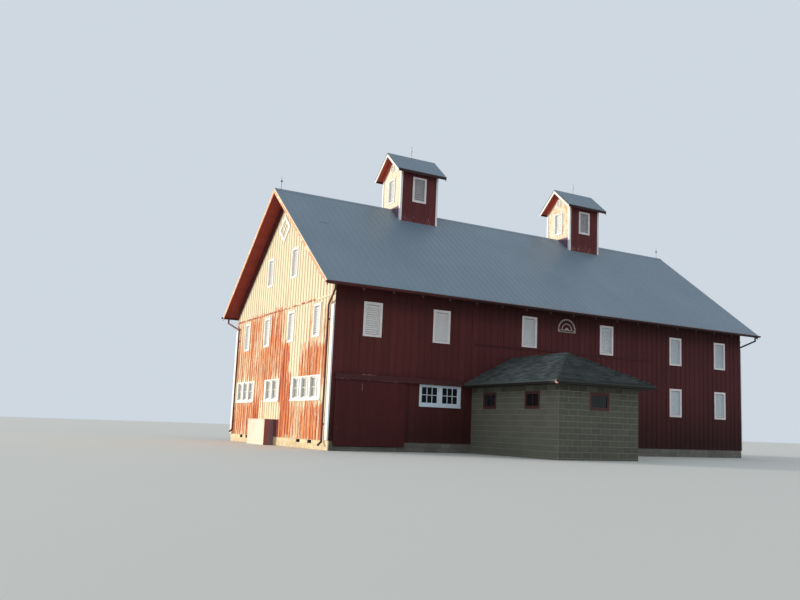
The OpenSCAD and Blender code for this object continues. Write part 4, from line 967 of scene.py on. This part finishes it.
def block_joint_wire(w):
    """Mortar between the blocks."""
    mottle = mottled(w, 2.0, 80.0, seed=26.0)
    colour = clouded(w, mottle, srgb(156, 154, 136), srgb(140, 138, 122))
    return colour, 0.92, mottle["Small"], 0.004


def shingle_wire(w):
    """Asphalt shingles in dark green-grey with mineral grains, with painted shade near the barn's wall and
    on the front slope.
    """
    tone = w.attribute("tone")
    grains = w.noise(w.place(), 220.0, detail=2.0, roughness=0.7, seed=28.0)
    mottle = mottled(w, 0.9, 30.0, seed=30.0)
    colour = w.mix(tone, srgb(102, 108, 106), srgb(66, 72, 70))
    colour = w.cover(colour, w.spread(mottle["Large"], 0.5, 0.75), 0.35, srgb(84, 88, 82))
    y = w.spot()[1]
    front = w.under(w.looks()[1], -0.1)
    # Painted shade on the shingles near the barn's wall
    colour = w.dim(colour, w.spread(y, milk_low.y + 2.2, -SIDE_Y - 0.4, 1.0, 0.72))
    colour = w.cover(colour, w.spread(grains, 0.55, 0.75), 0.35, srgb(104, 108, 100))
    # Painted shade on the front slope
    colour = w.dim(colour, w.mix_value(front, 1.0, 0.42))
    return colour, w.spread(grains, 0.3, 0.7, 0.82, 0.96), grains, 0.003


def milk_eave_wire(w):
    """Nearly black boards of the milk house's eaves, with a patch of sunlight painted at the near corner.
    """
    x, y, z = w.spot()
    mottle = mottled(w, 1.4, 28.0, seed=57.0)
    colour = w.mix(mottle["Large"], srgb(46, 42, 37), srgb(34, 31, 27))
    # Painted sunlight on the eave's near corner, which sticks out into the sun
    sunlit_corner = w.times(w.under(x, MILK_EAVES_LOW.x + SUNLIT_WIDE),
                          w.under(y, MILK_EAVES_LOW.y + SUNLIT_REACH))
    slant = w.minus(w.minus(y, MILK_EAVES_LOW.y), w.minus(z, MILK_EAVES_LOW.z))
    bare = w.times(sunlit_corner, w.spread(w.size(slant), SUNLIT_WIDE, 0.02))
    colour = w.mix(bare, colour, srgb(232, 172, 160))
    return colour, 0.7, mottle["Small"], 0.002


def milk_window_wire(w):
    """Dark red frames of the milk house's windows."""
    mottle = mottled(w, 1.4, 28.0, seed=59.0)
    return w.mix(mottle["Large"], srgb(88, 40, 38), srgb(64, 36, 34)), 0.7, mottle["Small"], 0.002


def timber_wire(w):
    """Sawn framing timber gone brown."""
    mottle = mottled(w, 0.8, 28.0, seed=32.0)
    colour = w.mix(w.times(w.spread(mottle["Large"], 0.4, 0.7), 0.4), timber_colour(w), srgb(112, 98, 82))
    return colour, 0.85, mottle["Small"], 0.004


def steel_wire(w):
    """Galvanized ironwork with rust freckles; the balls on the cupolas' rods are white."""
    mottle = mottled(w, 6.0, 90.0, seed=34.0)
    z = w.spot()[2]
    ball = w.times(w.over(z, RIDGE_H + 1.0), w.over(use(w, cupola_group)["Reach"], ROD_R))
    rust = w.spread(mottle["Large"], 0.52, 0.64)
    colour = w.mix(w.times(rust, 0.5), srgb(128, 130, 132), srgb(112, 84, 66))
    colour = w.mix(ball, colour, srgb(236, 230, 232))
    return colour, gloss(w, mottle, 0.35, 0.6), mottle["Small"], 0.0006


def glass_wire(w):
    """Old window glass with dust, and a pale film over most of each sash in the near gable, where the
    clear glass is pale grey as painted sunlight.
    """
    film = w.attribute("film")
    mottle = mottled(w, 3.5, 24.0, seed=36.0)
    ragged = w.plus(film, w.sway(mottle["Large"], 0.35))
    pale = w.spread(ragged, 0.24, 0.42)
    # Painted sunlight: the near gable's clear glass is pale grey, other glass near black
    clear = w.mix(w.over(film, 0.0), srgb(34, 38, 40), srgb(172, 172, 158))
    colour = w.mix(pale, clear, srgb(240, 240, 236))
    dust = w.spread(mottle["Small"], 0.55, 0.75)
    colour = w.cover(colour, dust, 0.06, srgb(150, 150, 140))
    return colour, w.mix_value(pale, 0.08, 0.45), mottle["Large"], 0.002


def bin_wire(w):
    """Cream paint on the bin's sunny side and lid; its other sides dark red paint that turns purple-grey,
    deepened as painted shade.
    """
    boards = planks(w, 0.22)
    nx, _, nz = w.looks()
    mottle = mottled(w, 1.2, 26.0, seed=38.0)
    lit = clouded(w, mottle, srgb(226, 226, 208), srgb(220, 214, 190), 0.35, 0.7)
    lit = w.cover(lit, boards["Joint"], 0.3, srgb(180, 160, 126))
    inward = w.spread(w.spot()[0], BIN_LOW.x, BIN_LOW.x + 0.30)
    # Painted shade on the bin's sides away from the sun, over dark red paint
    dark = w.mix(inward, srgb(170, 84, 76), srgb(140, 112, 114))
    sunny = w.most(w.under(nx, -0.5), w.over(nz, 0.5))
    return w.mix(sunny, dark, lit), 0.78, boards["Grain"], 0.003


# Constants of the shader: paint with little shine, and old glass
DULL = {"Specular IOR Level": 0.3}
GLASSY = {"Transmission Weight": 0.25, "IOR": 1.45, "Specular IOR Level": 0.25}
# Each finish: its wiring, the shader's constants and the nodes that wear it
FINISHES = {
    "siding": (siding_wire, DULL, ("front_wall", "front_wall_over_door", "front_wall_corner", "back_wall",
                                   "near_gable_wall", "far_gable_wall")),
    "near gable battens": (gable_batten_wire, {}, ()),
    "red battens": (batten_wire, DULL, ()),
    "door boards": (door_wire, DULL, ("sliding_door",)),
    "cupola siding": (cupola_wire, DULL, ("cupola_eave_walls", "cupola_gable_walls")),
    "white trim": (trim_wire, {}, ("corner_boards", "gable_diamonds", "gable_windows")),
    "window frames": (window_wire, {}, ("wall_windows",)),
    "cupola trim": (cupola_trim_wire, {}, ("cupola_trim",)),
    "half-round panel": (sign_wire, {}, ("half_round_panel",)),
    "louvres": (louvre_wire, {}, ("front_louvres", "back_louvres", "gable_louvres", "cupola_louvres")),
    "roof metal": (roof_metal_wire, {}, ("ridge_cap",)),
    "roof": (roof_wire, {}, ("roof_front", "roof_back")),
    "cupola roof": (cupola_roof_wire, {}, ("cupola_roofs",)),
    "rake boards": (rake_wire, {}, ("rake_boards_front", "rake_boards_back")),
    "drip boards": (belt_wire, DULL, ("drip_boards",)),
    "eaves": (eave_wire, DULL, ("eave_fascias", "gutters", "cupola_fascias")),
    "track hood": (hood_wire, DULL, ("door_track",)),
    "downspouts": (spout_wire, {}, ("downspouts",)),
    "limestone": (stone_wire, {}, ()),
    "lime mortar": (mortar_wire, {}, ("foundation_long_walls", "foundation_gable_walls",
                                      "foundation_corner_pier")),
    "concrete": (concrete_wire, {}, ("door_threshold", "ground_floor", "milk_house_floor")),
    "concrete blocks": (block_wire, {}, ()),
    "block joints": (block_joint_wire, {}, ("milk_house_front_wall", "milk_house_side_walls")),
    "shingles": (shingle_wire, {"Specular IOR Level": 0.15}, ("milk_house_roof",)),
    "milk house eaves": (milk_eave_wire, {"Specular IOR Level": 0.2}, ("milk_house_eaves",)),
    "milk house windows": (milk_window_wire, {}, ("milk_house_windows",)),
    "timber": (timber_wire, {}, ("posts", "loft_beams", "loft_floor")),
    "ironwork": (steel_wire, {"Metallic": 0.3}, ("door_hangers", "lightning_rods")),
    "old glass": (glass_wire, GLASSY, ()),
    "bin paint": (bin_wire, {}, ("gable_bin", "gable_bin_lid")),
}


def make_finishes():
    """Makes every finish and gives it to the nodes that wear it."""
    made = {}
    for name, (wire, constants, wearers) in FINISHES.items():
        made[name] = material(name, wire, constants)
        for wearer in wearers:
            mesh = nodes[wearer].data
            mesh.materials.clear()
            mesh.materials.append(made[name])
    return made


finishes = make_finishes()


# Pieces that repeat: one mesh set on many points by Geometry Nodes

def pieces_tree():
    """Sets a piece on each point by its turn and stretch, roughens the result and gives it a material."""
    tree = bpy.data.node_groups.new("pieces on points", "GeometryNodeTree")
    for title, kind in (("Points", "Geometry"), ("Piece", "Object"), ("Finish", "Material"),
                        ("Unevenness", "Float"), ("Size of dents", "Float"), ("Seed", "Float")):
        tree.interface.new_socket(title, in_out="INPUT", socket_type="NodeSocket" + kind)
    tree.interface.new_socket("Mesh", in_out="OUTPUT", socket_type="NodeSocketGeometry")
    w = Wiring(tree)
    given = w.add("NodeGroupInput").outputs
    piece = w.add("GeometryNodeObjectInfo", {"Object": given["Piece"]}).outputs["Geometry"]
    turn = w.add("GeometryNodeInputNamedAttribute", {"Name": "turn"}, data_type="FLOAT_VECTOR")
    stretch = w.add("GeometryNodeInputNamedAttribute", {"Name": "stretch"}, data_type="FLOAT_VECTOR")
    rotation = w.add("FunctionNodeEulerToRotation", {0: turn.outputs[0]})
    placed = w.add("GeometryNodeInstanceOnPoints",
                   {"Points": given["Points"], "Instance": piece, "Rotation": rotation.outputs[0],
                    "Scale": stretch.outputs[0]}).outputs[0]
    real = w.add("GeometryNodeRealizeInstances", {0: placed}).outputs[0]
    noise = w.add("ShaderNodeTexNoise", {"W": given["Seed"], "Detail": 2.0}, noise_dimensions="4D")
    w.plug(noise.inputs["Scale"], w.math("DIVIDE", 1.0, given["Size of dents"]))
    w.plug(noise.inputs["Vector"], w.add("GeometryNodeInputPosition").outputs[0])
    centred = w.add("ShaderNodeVectorMath", {0: noise.outputs["Color"], 1: (0.5, 0.5, 0.5)},
                    operation="SUBTRACT").outputs[0]
    offset = w.add("ShaderNodeVectorMath", {0: centred}, operation="SCALE")
    w.plug(offset.inputs["Scale"], given["Unevenness"])
    moved = w.add("GeometryNodeSetPosition", {"Geometry": real, "Offset": offset.outputs[0]}).outputs[0]
    dressed = w.add("GeometryNodeSetMaterial", {"Geometry": moved, "Material": given["Finish"]})
    w.plug(w.add("NodeGroupOutput").inputs["Mesh"], dressed.outputs[0])
    return tree


pieces_on_points = pieces_tree()


def socket_ids(tree):
    """Identifiers of a tree's inputs by their names."""
    return {item.name: item.identifier for item in tree.interface.items_tree
            if item.item_type == "SOCKET" and item.in_out == "INPUT"}


class Layout:
    """A list of places for one repeated piece: where, turn, stretch and tone."""

    def __init__(self, seed):
        self.rows = []
        self.chance = random.Random(seed)

    def put(self, place, turn, stretch):
        self.rows.append((tuple(place), tuple(turn), tuple(stretch), self.chance.random()))

    def points(self, name):
        """A mesh of the places, which holds turn, stretch and tone as attributes."""
        mesh = bpy.data.meshes.new(name)
        mesh.from_pydata([row[0] for row in self.rows], [], [])
        for title, kind, field, column in (("turn", "FLOAT_VECTOR", "vector", 1),
                                           ("stretch", "FLOAT_VECTOR", "vector", 2),
                                           ("tone", "FLOAT", "value", 3)):
            layer = mesh.attributes.new(title, kind, "POINT")
            values = [row[column] for row in self.rows]
            flat = [c for v in values for c in v] if field == "vector" else values
            layer.data.foreach_set(field, flat)
        return mesh


def set_pieces(name, layout, piece_mesh, finish, dents=0.0, dent_size=0.2):
    """Makes one mesh of all the pieces of a layout."""
    stamp = new_object(name + "_stamp", piece_mesh)
    holder = new_object(name + "_points", layout.points(name + "_points"))
    modifier = holder.modifiers.new("pieces", "NODES")
    modifier.node_group = pieces_on_points
    ids = socket_ids(pieces_on_points)
    for title, value in (("Piece", stamp), ("Finish", finishes[finish]), ("Unevenness", dents),
                         ("Size of dents", dent_size), ("Seed", DENT_SEED)):
        modifier[ids[title]] = value
    graph = bpy.context.evaluated_depsgraph_get()
    mesh = bpy.data.meshes.new_from_object(holder.evaluated_get(graph), depsgraph=graph)
    for spare in (holder, stamp):
        bpy.data.objects.remove(spare)
    dress(new_object(name, mesh), finish)


def dress(piece, finish):
    """Gives a finished piece its material, and lets it ride on the barn."""
    piece.data.materials.clear()
    piece.data.materials.append(finishes[finish])
    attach(piece, "barn")


def wrap(shape, low, high):
    """Joins two rings of corners with faces."""
    for i in range(len(low)):
        j = (i + 1) % len(low)
        shape.faces.new((low[i], low[j], high[j], high[i]))


def prism_mesh(name, outline):
    """A unit length of a section along Z, from 0 to 1. The outline runs anticlockwise seen from +Z."""
    shape = bmesh.new()
    low = [shape.verts.new((x, y, 0.0)) for x, y in outline]
    high = [shape.verts.new((x, y, 1.0)) for x, y in outline]
    wrap(shape, low, high)
    shape.faces.new(low[::-1])
    shape.faces.new(high)
    return to_mesh(name, shape)


def to_mesh(name, shape):
    """Turns a finished shape into a mesh whose faces point outwards."""
    bmesh.ops.recalc_face_normals(shape, faces=shape.faces)
    mesh = bpy.data.meshes.new(name)
    shape.to_mesh(mesh)
    shape.free()
    return mesh


def add_slab(shape, low, high):
    """Adds a slab between two corners to a shape and gives back its corners."""
    made = bmesh.ops.create_cube(shape, size=1.0)["verts"]
    bmesh.ops.scale(shape, vec=[h - l for l, h in zip(low, high)], verts=made)
    bmesh.ops.translate(shape, vec=[(h + l) / 2 for l, h in zip(low, high)], verts=made)
    return made


def slab_mesh(name, low, high):
    """One slab, to be stretched to each block, shingle or stone."""
    shape = bmesh.new()
    add_slab(shape, low, high)
    return to_mesh(name, shape)


def without(span, blocked):
    """The stretches of a span (low, high) that the blocked spans leave free."""
    free = [span]
    for low, high in blocked:
        rest = []
        for a, b in free:
            if high <= a or low >= b:
                rest.append((a, b))
            else:
                rest += [(a, low)] if low > a else []
                rest += [(high, b)] if high < b else []
        free = rest
    return [(a, b) for a, b in free if b - a > SHORTEST_PIECE]


def batten_mesh():
    """A batten with chamfered edges, let into a wall at Y = 0 and proud of it to -Y."""
    half, flat, edge = BATTEN_W / 2, BATTEN_W / 2 - BATTEN_CHAMFER, BATTEN_CHAMFER - BATTEN_T
    return prism_mesh("batten", [(-half, BATTEN_SINK), (-half, edge), (-flat, -BATTEN_T),
                                 (flat, -BATTEN_T), (half, edge), (half, BATTEN_SINK)])


# Turn about the upright axis that faces a piece out of each wall
FACING = {"front": 0.0, "back": math.pi, "near": -math.pi / 2, "far": math.pi / 2}


def on_wall(side, across, z, face_x=END_X, face_y=SIDE_Y):
    """Point on a wall's face; across is X on the long walls and Y on the gables."""
    return {"front": (across, -face_y, z), "back": (across, face_y, z),
            "near": (-face_x, across, z), "far": (face_x, across, z)}[side]


def casings(names, axis, face):
    """Spans (across low, across high, low z, high z) of the solids that lie on one wall."""
    found = []
    for name in names:
        for low, high in solids(name):
            reach = (low if face < 0 else high)[1 - axis]
            if abs(reach - face) < ON_FACE:
                found.append((low[axis], high[axis], low[2], high[2]))
    return found


def step_positions(low, high, step):
    """Places a step apart, balanced about the middle of the stretch."""
    count = int((high - low) / step)
    first = (low + high) / 2 - (count - 1) * step / 2
    return [first + i * step for i in range(count)]


def joints(reach):
    """Places at whole board widths from the middle, where the boards meet."""
    count = int(reach / BOARD_STEP)
    return [i * BOARD_STEP for i in range(-count, count + 1)]


def set_battens(name, side, places, top_at, spans, seed, finish):
    """Battens of one wall between its foot and its top, where no span blocks them."""
    layout = Layout(seed)
    half = BATTEN_W / 2
    for across in places:
        blocked = [(low, high) for a, b, low, high in spans if a - half < across < b + half]
        for low, high in without((SIDING_Z, top_at(across)), blocked):
            layout.put(on_wall(side, across, low), (0.0, 0.0, FACING[side]), (1.0, 1.0, high - low))
    set_pieces("battens_" + name, layout, batten_mesh(), finish)


def milk_spans():
    """What the milk house covers of the front wall, as narrow upright spans."""
    spans = []
    for i in range(int(2 * MILK_HALF / BATTEN_W)):
        a = milk_low.x + i * BATTEN_W
        top = MILK_RIDGE_H - MILK_SLOPE * abs(a + BATTEN_W / 2 - MILK_MID) + FLASHING
        inside = MILK_X0 - BATTEN_W < a < MILK_X1 + BATTEN_W
        spans.append((a, a + BATTEN_W, 0.0 if inside else MILK_WALL_H - TINY, top))
    return spans


def make_battens():
    """Battens over the joints of the siding, cut off at every casing, board and roof."""
    in_gable = ("gable_louvres", "gable_windows", "drip_boards")
    near = casings(in_gable, 1, -END_X) + [(BIN_LOW.y, BIN_HIGH.y, 0.0, BIN_HIGH.z)]
    for side, spans, finish, slot in (("near", near, "near gable battens", "peeling_siding"),
                                      ("far", casings(in_gable, 1, END_X), "red battens", "red_siding")):
        set_battens(side + "_gable", side, joints(SIDE_Y - GABLE_CORNER),
                    lambda y: roof_under(abs(y) + BATTEN_W / 2) - TINY, spans, 11, finish)
    front = casings(("front_louvres", "wall_windows", "half_round_panel", "drip_boards"), 0, -SIDE_Y)
    front += [(over_door[0].x, over_door[1].x, 0.0, over_door[0].z),
              (track[0].x, track[1].x, track[0].z, track[1].z)] + milk_spans()
    back = casings(("back_louvres", "wall_windows"), 0, SIDE_Y)
    for side, spans in (("front", front), ("back", back)):
        set_battens(side, side, joints(END_X - SIDE_CORNER), lambda x: roof_under(SIDE_Y) - 2 * TINY,
                    spans, 13, "red battens")


make_battens()


def rib_mesh():
    """A rib with sloped sides, let into the sheet by a little."""
    half, top = RIB_W / 2, RIB_TOP_W / 2
    return prism_mesh("rib", [(-half, -RIB_SINK), (half, -RIB_SINK), (top, RIB_H), (-top, RIB_H)])


def slope_turn(angle, back):
    """Turn that lays a prism's length up a roof slope and its height square to it."""
    lay = Matrix.Rotation(angle - math.pi / 2, 3, "X") @ Matrix.Rotation(math.pi, 3, "Z")
    if back:
        lay = Matrix.Rotation(math.pi, 3, "Z") @ lay
    return tuple(lay.to_euler())


def make_roof_ribs():
    """Ribs of the metal sheets, from the eaves to the ridge cap, stopped at the cupolas."""
    shafts = [(x - CUPOLA_HALF, x + CUPOLA_HALF) for x in CUPOLA_XS]
    for side, sign in (("front", -1), ("back", 1)):
        layout = Layout(17)
        for x in step_positions(-ROOF_X + RIB_VERGE, ROOF_X - RIB_VERGE, RIB_STEP):
            stop = RIDGE_CAP_REACH
            if any(a - RIB_W < x < b + RIB_W for a, b in shafts):
                stop = CUPOLA_HALF + SHAFT_CLEAR
            length = (ROOF_Y - stop) / math.cos(ROOF_ANGLE)
            layout.put((x, sign * ROOF_Y, EAVE_H), slope_turn(ROOF_ANGLE, sign > 0), (1.0, 1.0, length))
        set_pieces("roof_ribs_" + side, layout, rib_mesh(), "roof metal")
    layout = Layout(19)
    for low, high in cupola_roofs:
        half = (high[1] - low[1]) / 2
        eave = highest_at("cupola_roofs", 1, low[1])
        angle = math.atan((high[2] - eave) / half)
        length = half / math.cos(angle) - CUPOLA_RIB_VERGE
        for x in step_positions(low[0] + CUPOLA_RIB_VERGE, high[0] - CUPOLA_RIB_VERGE, RIB_STEP):
            for sign in (-1, 1):
                layout.put((x, sign * half, eave), slope_turn(angle, sign > 0), (1.0, 1.0, length))
    set_pieces("cupola_roof_ribs", layout, rib_mesh(), "roof metal")


make_roof_ribs()


def block_rows(start, end, bottom, top, holes, shift):
    """Blocks (a, b, low, high) of a face in running bond from the top down, cut round the holes."""
    rows = []
    course = 0
    high = top
    while high > bottom + LEAST_COURSE:
        low = max(high - BLOCK_H, bottom)
        a = start - (BLOCK_L / 2 if (course + shift) % 2 else 0.0)
        while a < end:
            span = (max(a, start), min(a + BLOCK_L, end))
            inside = [(h[0], h[1]) for h in holes
                      if h[2] < high - SHORTEST_PIECE and h[3] > low + SHORTEST_PIECE]
            for left, right in without(span, inside):
                rows.append((left, right, low, high))
            a += BLOCK_L
        high -= BLOCK_H
        course += 1
    return rows


def make_blocks():
    """Blocks of the milk house as a skin in front of its joints."""
    stamp = slab_mesh("block", (0.0, -BLOCK_PROUD, 0.0), (1.0, BLOCK_SINK, 1.0))
    layout = Layout(23)
    windows = solids("milk_house_windows")
    front_holes = [(l[0], h[0], l[2], h[2]) for l, h in windows if h[0] - l[0] > h[1] - l[1]]
    half_joint = JOINT / 2
    for a, b, low, high in block_rows(MILK_X0, MILK_X1, 0.0, MILK_WALL_H, front_holes, 0):
        layout.put((a + half_joint, MILK_Y, low + half_joint), (0.0, 0.0, 0.0),
                   (b - a - JOINT, 1.0, high - low - JOINT))
    for x, sign in ((MILK_X0, -1), (MILK_X1, 1)):
        holes = [(l[1], h[1], l[2], h[2]) for l, h in windows
                 if h[0] - l[0] < h[1] - l[1] and abs((l[0] + h[0]) / 2 - x) < BLOCK_H]
        for a, b, low, high in block_rows(MILK_Y, MILK_BACK_Y, 0.0, MILK_WALL_H, holes, 1):
            start = b - half_joint if sign < 0 else a + half_joint
            layout.put((x, start, low + half_joint), (0.0, 0.0, sign * math.pi / 2),
                       (b - a - JOINT, 1.0, high - low - JOINT))
    set_pieces("milk_house_blocks", layout, stamp, "concrete blocks")


make_blocks()


def make_shingles():
    """Three-tab courses on the three slopes of the milk house roof, with caps on its hips and ridge."""
    angle = math.atan(MILK_SLOPE)
    flat, steep = math.cos(angle), math.sin(angle)
    length = MILK_BACK_Y - milk_low.y
    # Corner, way along the eave, way up the slope, width, and whether a hip is at its start and its end
    slopes = (
        ((milk_low.x, MILK_BACK_Y), (0, -1, 0), (flat, 0, steep), length, False, True),
        ((milk_high.x, milk_low.y), (0, 1, 0), (-flat, 0, steep), length, True, False),
        ((milk_low.x, milk_low.y), (1, 0, 0), (0, flat, steep), 2 * MILK_HALF, True, True),
    )
    layout = Layout(29)
    for corner, along, up, wide, hip_at_start, hip_at_end in slopes:
        along, up = Vector(along), Vector(up)
        lifted = Matrix.Rotation(-math.atan(SHINGLE_T / SHINGLE_STEP), 3, along) @ up
        turn = tuple(Matrix((along, lifted, along.cross(lifted))).transposed().to_euler())
        for course in range(int(MILK_HALF / flat / SHINGLE_STEP)):
            rise = course * SHINGLE_STEP + SHINGLE_START
            cut = (rise + SHINGLE_STEP / 2) * flat
            first = cut if hip_at_start else 0.0
            last = wide - cut if hip_at_end else wide
            a = -SHINGLE_W / 2 * (course % 2) - SHINGLE_W / 5 * (course % 3)
            while a < last:
                left, right = max(a, first), min(a + SHINGLE_W - SHINGLE_GAP, last)
                if right - left > SHORTEST_SHINGLE:
                    place = Vector((*corner, MILK_EAVE_H)) + along * left + up * rise
                    lift = SHINGLE_T + layout.chance.random() * SHINGLE_RAGGED
                    layout.put(place + along.cross(up) * lift, turn, (right - left, 1.0, 1.0))
                a += SHINGLE_W
    stamp = slab_mesh("shingle", (0.0, 0.0, 0.0), (1.0, SHINGLE_L, SHINGLE_T))
    set_pieces("milk_house_shingles", layout, stamp, "shingles")


def make_hip_caps():
    """Folded caps that lap up each hip and along the ridge."""
    peak = Vector((MILK_MID, milk_low.y + MILK_HALF, MILK_RIDGE_H))
    foot_y, foot_z = milk_low.y + HIP_CAP_INSET, MILK_EAVE_H + HIP_CAP_INSET * MILK_SLOPE
    lines = [(Vector((x, foot_y, foot_z)), peak, MILK_SLOPE * math.sqrt(0.5))
             for x in (milk_low.x + HIP_CAP_INSET, milk_high.x - HIP_CAP_INSET)]
    lines.append((peak - Vector((0, RIDGE_CAP_START, 0)), Vector((MILK_MID, MILK_BACK_Y, MILK_RIDGE_H)),
                  MILK_SLOPE))
    shape = bmesh.new()
    chance = random.Random(31)
    tone = shape.verts.layers.float.new("tone")
    for start, end, fall in lines:
        length = (end - start).length
        way = (end - start) / length
        out = Vector((way.y, -way.x, 0)).normalized() * HIP_CAP_W
        for i in range(int(length / HIP_CAP_STEP)):
            reach = min((i + HIP_CAP_LAP) * HIP_CAP_STEP, length)
            rings = []
            for along, lift in zip((i * HIP_CAP_STEP, reach), HIP_CAP_LIFTS):
                ring = [(s, lift) for s in (-1, 0, 1)] + [(s, lift - SHINGLE_T) for s in (1, 0, -1)]
                rings.append([shape.verts.new(start + way * along + out * s
                                              + Vector((0, 0, z - fall * abs(s) * HIP_CAP_W)))
                              for s, z in ring])
            shade = chance.random()
            for corner in rings[0] + rings[1]:
                corner[tone] = shade
            wrap(shape, *rings)
            for ring in rings:
                shape.faces.new((ring[0], ring[1], ring[4], ring[5]))
                shape.faces.new((ring[1], ring[2], ring[3], ring[4]))
    dress(new_object("milk_house_ridge_caps", to_mesh("caps", shape)), "shingles")


make_shingles()
make_hip_caps()


def make_stones():
    """Coursed limestone in front of the foundation's mortar, left open at the vents and the door."""
    layout = Layout(37)
    face_x, _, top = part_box("foundation_gable_walls")[1]
    face_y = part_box("foundation_long_walls")[1].y
    vents = vent_spans()
    doorway = (over_door[0].x, over_door[1].x)
    for side in ("front", "back", "near", "far"):
        reach = face_x if side in ("front", "back") else face_y
        z = 0.0
        while z < top - LEAST_COURSE:
            course = min(STONE_H, top - z)
            a = -reach - layout.chance.random() * STONE_L
            while a < reach:
                wide = STONE_L * (STONE_SHORTEST + STONE_SPREAD * layout.chance.random())
                span = (max(a, -reach), min(a + wide, reach))
                blocked = [(low, high) for low, high, foot in vents
                           if side in ("near", "far") and z + course > foot + STONE_GAP]
                blocked += [doorway] if side == "front" else []
                for left, right in without(span, blocked):
                    first = left + STONE_GAP if side in ("front", "far") else right - STONE_GAP
                    place = on_wall(side, first, z + STONE_GAP, face_x, face_y)
                    layout.put(place, (0.0, 0.0, FACING[side]),
                               (right - left - 2 * STONE_GAP, 1.0, course - 2 * STONE_GAP))
                a += wide
            z += course
    stamp = slab_mesh("stone", (0.0, -STONE_PROUD, 0.0), (1.0, STONE_SINK, 1.0))
    set_pieces("foundation_stones", layout, stamp, "limestone", STONE_DENTS, STONE_DENT_SIZE)


def vent_spans():
    """Vents of the foundation: spans in Y and their lower edge, found from the corners of its holes."""
    low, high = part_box("foundation_gable_walls")
    corners = {(round(v.co.y, 3), round(v.co.z, 3)) for v in nodes["foundation_gable_walls"].data.vertices
               if abs(v.co.x - low.x) < TINY}
    edges = sorted({y for y, z in corners if low.z + TINY < z < high.z - TINY})
    bottom = min(z for y, z in corners if low.z + TINY < z)
    return [(edges[i], edges[i + 1], bottom) for i in range(0, len(edges), 2)]


make_stones()


def make_panes():
    """Panes with a pale film that thickens across each sash."""
    for name, node in (("window_panes", "barn_window_glass"), ("milk_house_panes", "milk_house_glass")):
        shape = bmesh.new()
        film = shape.verts.layers.float.new("film")
        for low, high in solids(node):
            wide_axis = 0 if high[0] - low[0] > high[1] - low[1] else 1
            in_near_gable = wide_axis == 1 and low[0] + high[0] < -2 * SIDE_Y
            for corner in add_slab(shape, low, high):
                share = (corner.co[wide_axis] - low[wide_axis]) / (high[wide_axis] - low[wide_axis])
                corner[film] = 1.0 - share if in_near_gable else 0.0
        panes = new_object(name, to_mesh(name, shape))
        dress(panes, "old glass")
        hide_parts(node)


make_panes()


# Light and floor

def make_light():
    """A warm, soft key light on the gable and a pale surround."""
    sun = bpy.data.lights.new("key", "SUN")
    sun.energy = SUN_STRENGTH
    sun.color = SUN_COLOUR
    sun.angle = math.radians(SUN_ANGLE)
    lamp = new_object("key", sun)
    travel = Vector(SUN_TRAVEL).normalized()
    lamp.matrix_world = travel.to_track_quat("-Z", "Y").to_matrix().to_4x4()
    world = bpy.data.worlds.new("surround")
    work_scene.world = world
    world.use_nodes = True
    w = Wiring(world.node_tree)
    world.node_tree.nodes.clear()
    glow = w.add("ShaderNodeBackground", {"Color": SKY_COLOUR, "Strength": SKY_STRENGTH})
    out = w.add("ShaderNodeOutputWorld")
    w.plug(out.inputs["Surface"], glow.outputs[0])


def floor_wire(w):
    """Pale, nearly even ground."""
    mottle = mottled(w, 0.05, 1.0, seed=50.0)
    return w.mix(mottle["Large"], srgb(214, 212, 204), srgb(206, 204, 198)), 0.85, None, 0.0


def make_floor():
    """A wide floor just below the barn, for the picture only."""
    shape = bmesh.new()
    bmesh.ops.create_grid(shape, x_segments=1, y_segments=1, size=FLOOR_REACH)
    floor = new_object("floor", to_mesh("floor", shape))
    floor.data.transform(Matrix.Translation((0, 0, -FLOOR_DROP)))
    floor.data.materials.append(material("floor", floor_wire, {}))


make_light()
make_floor()
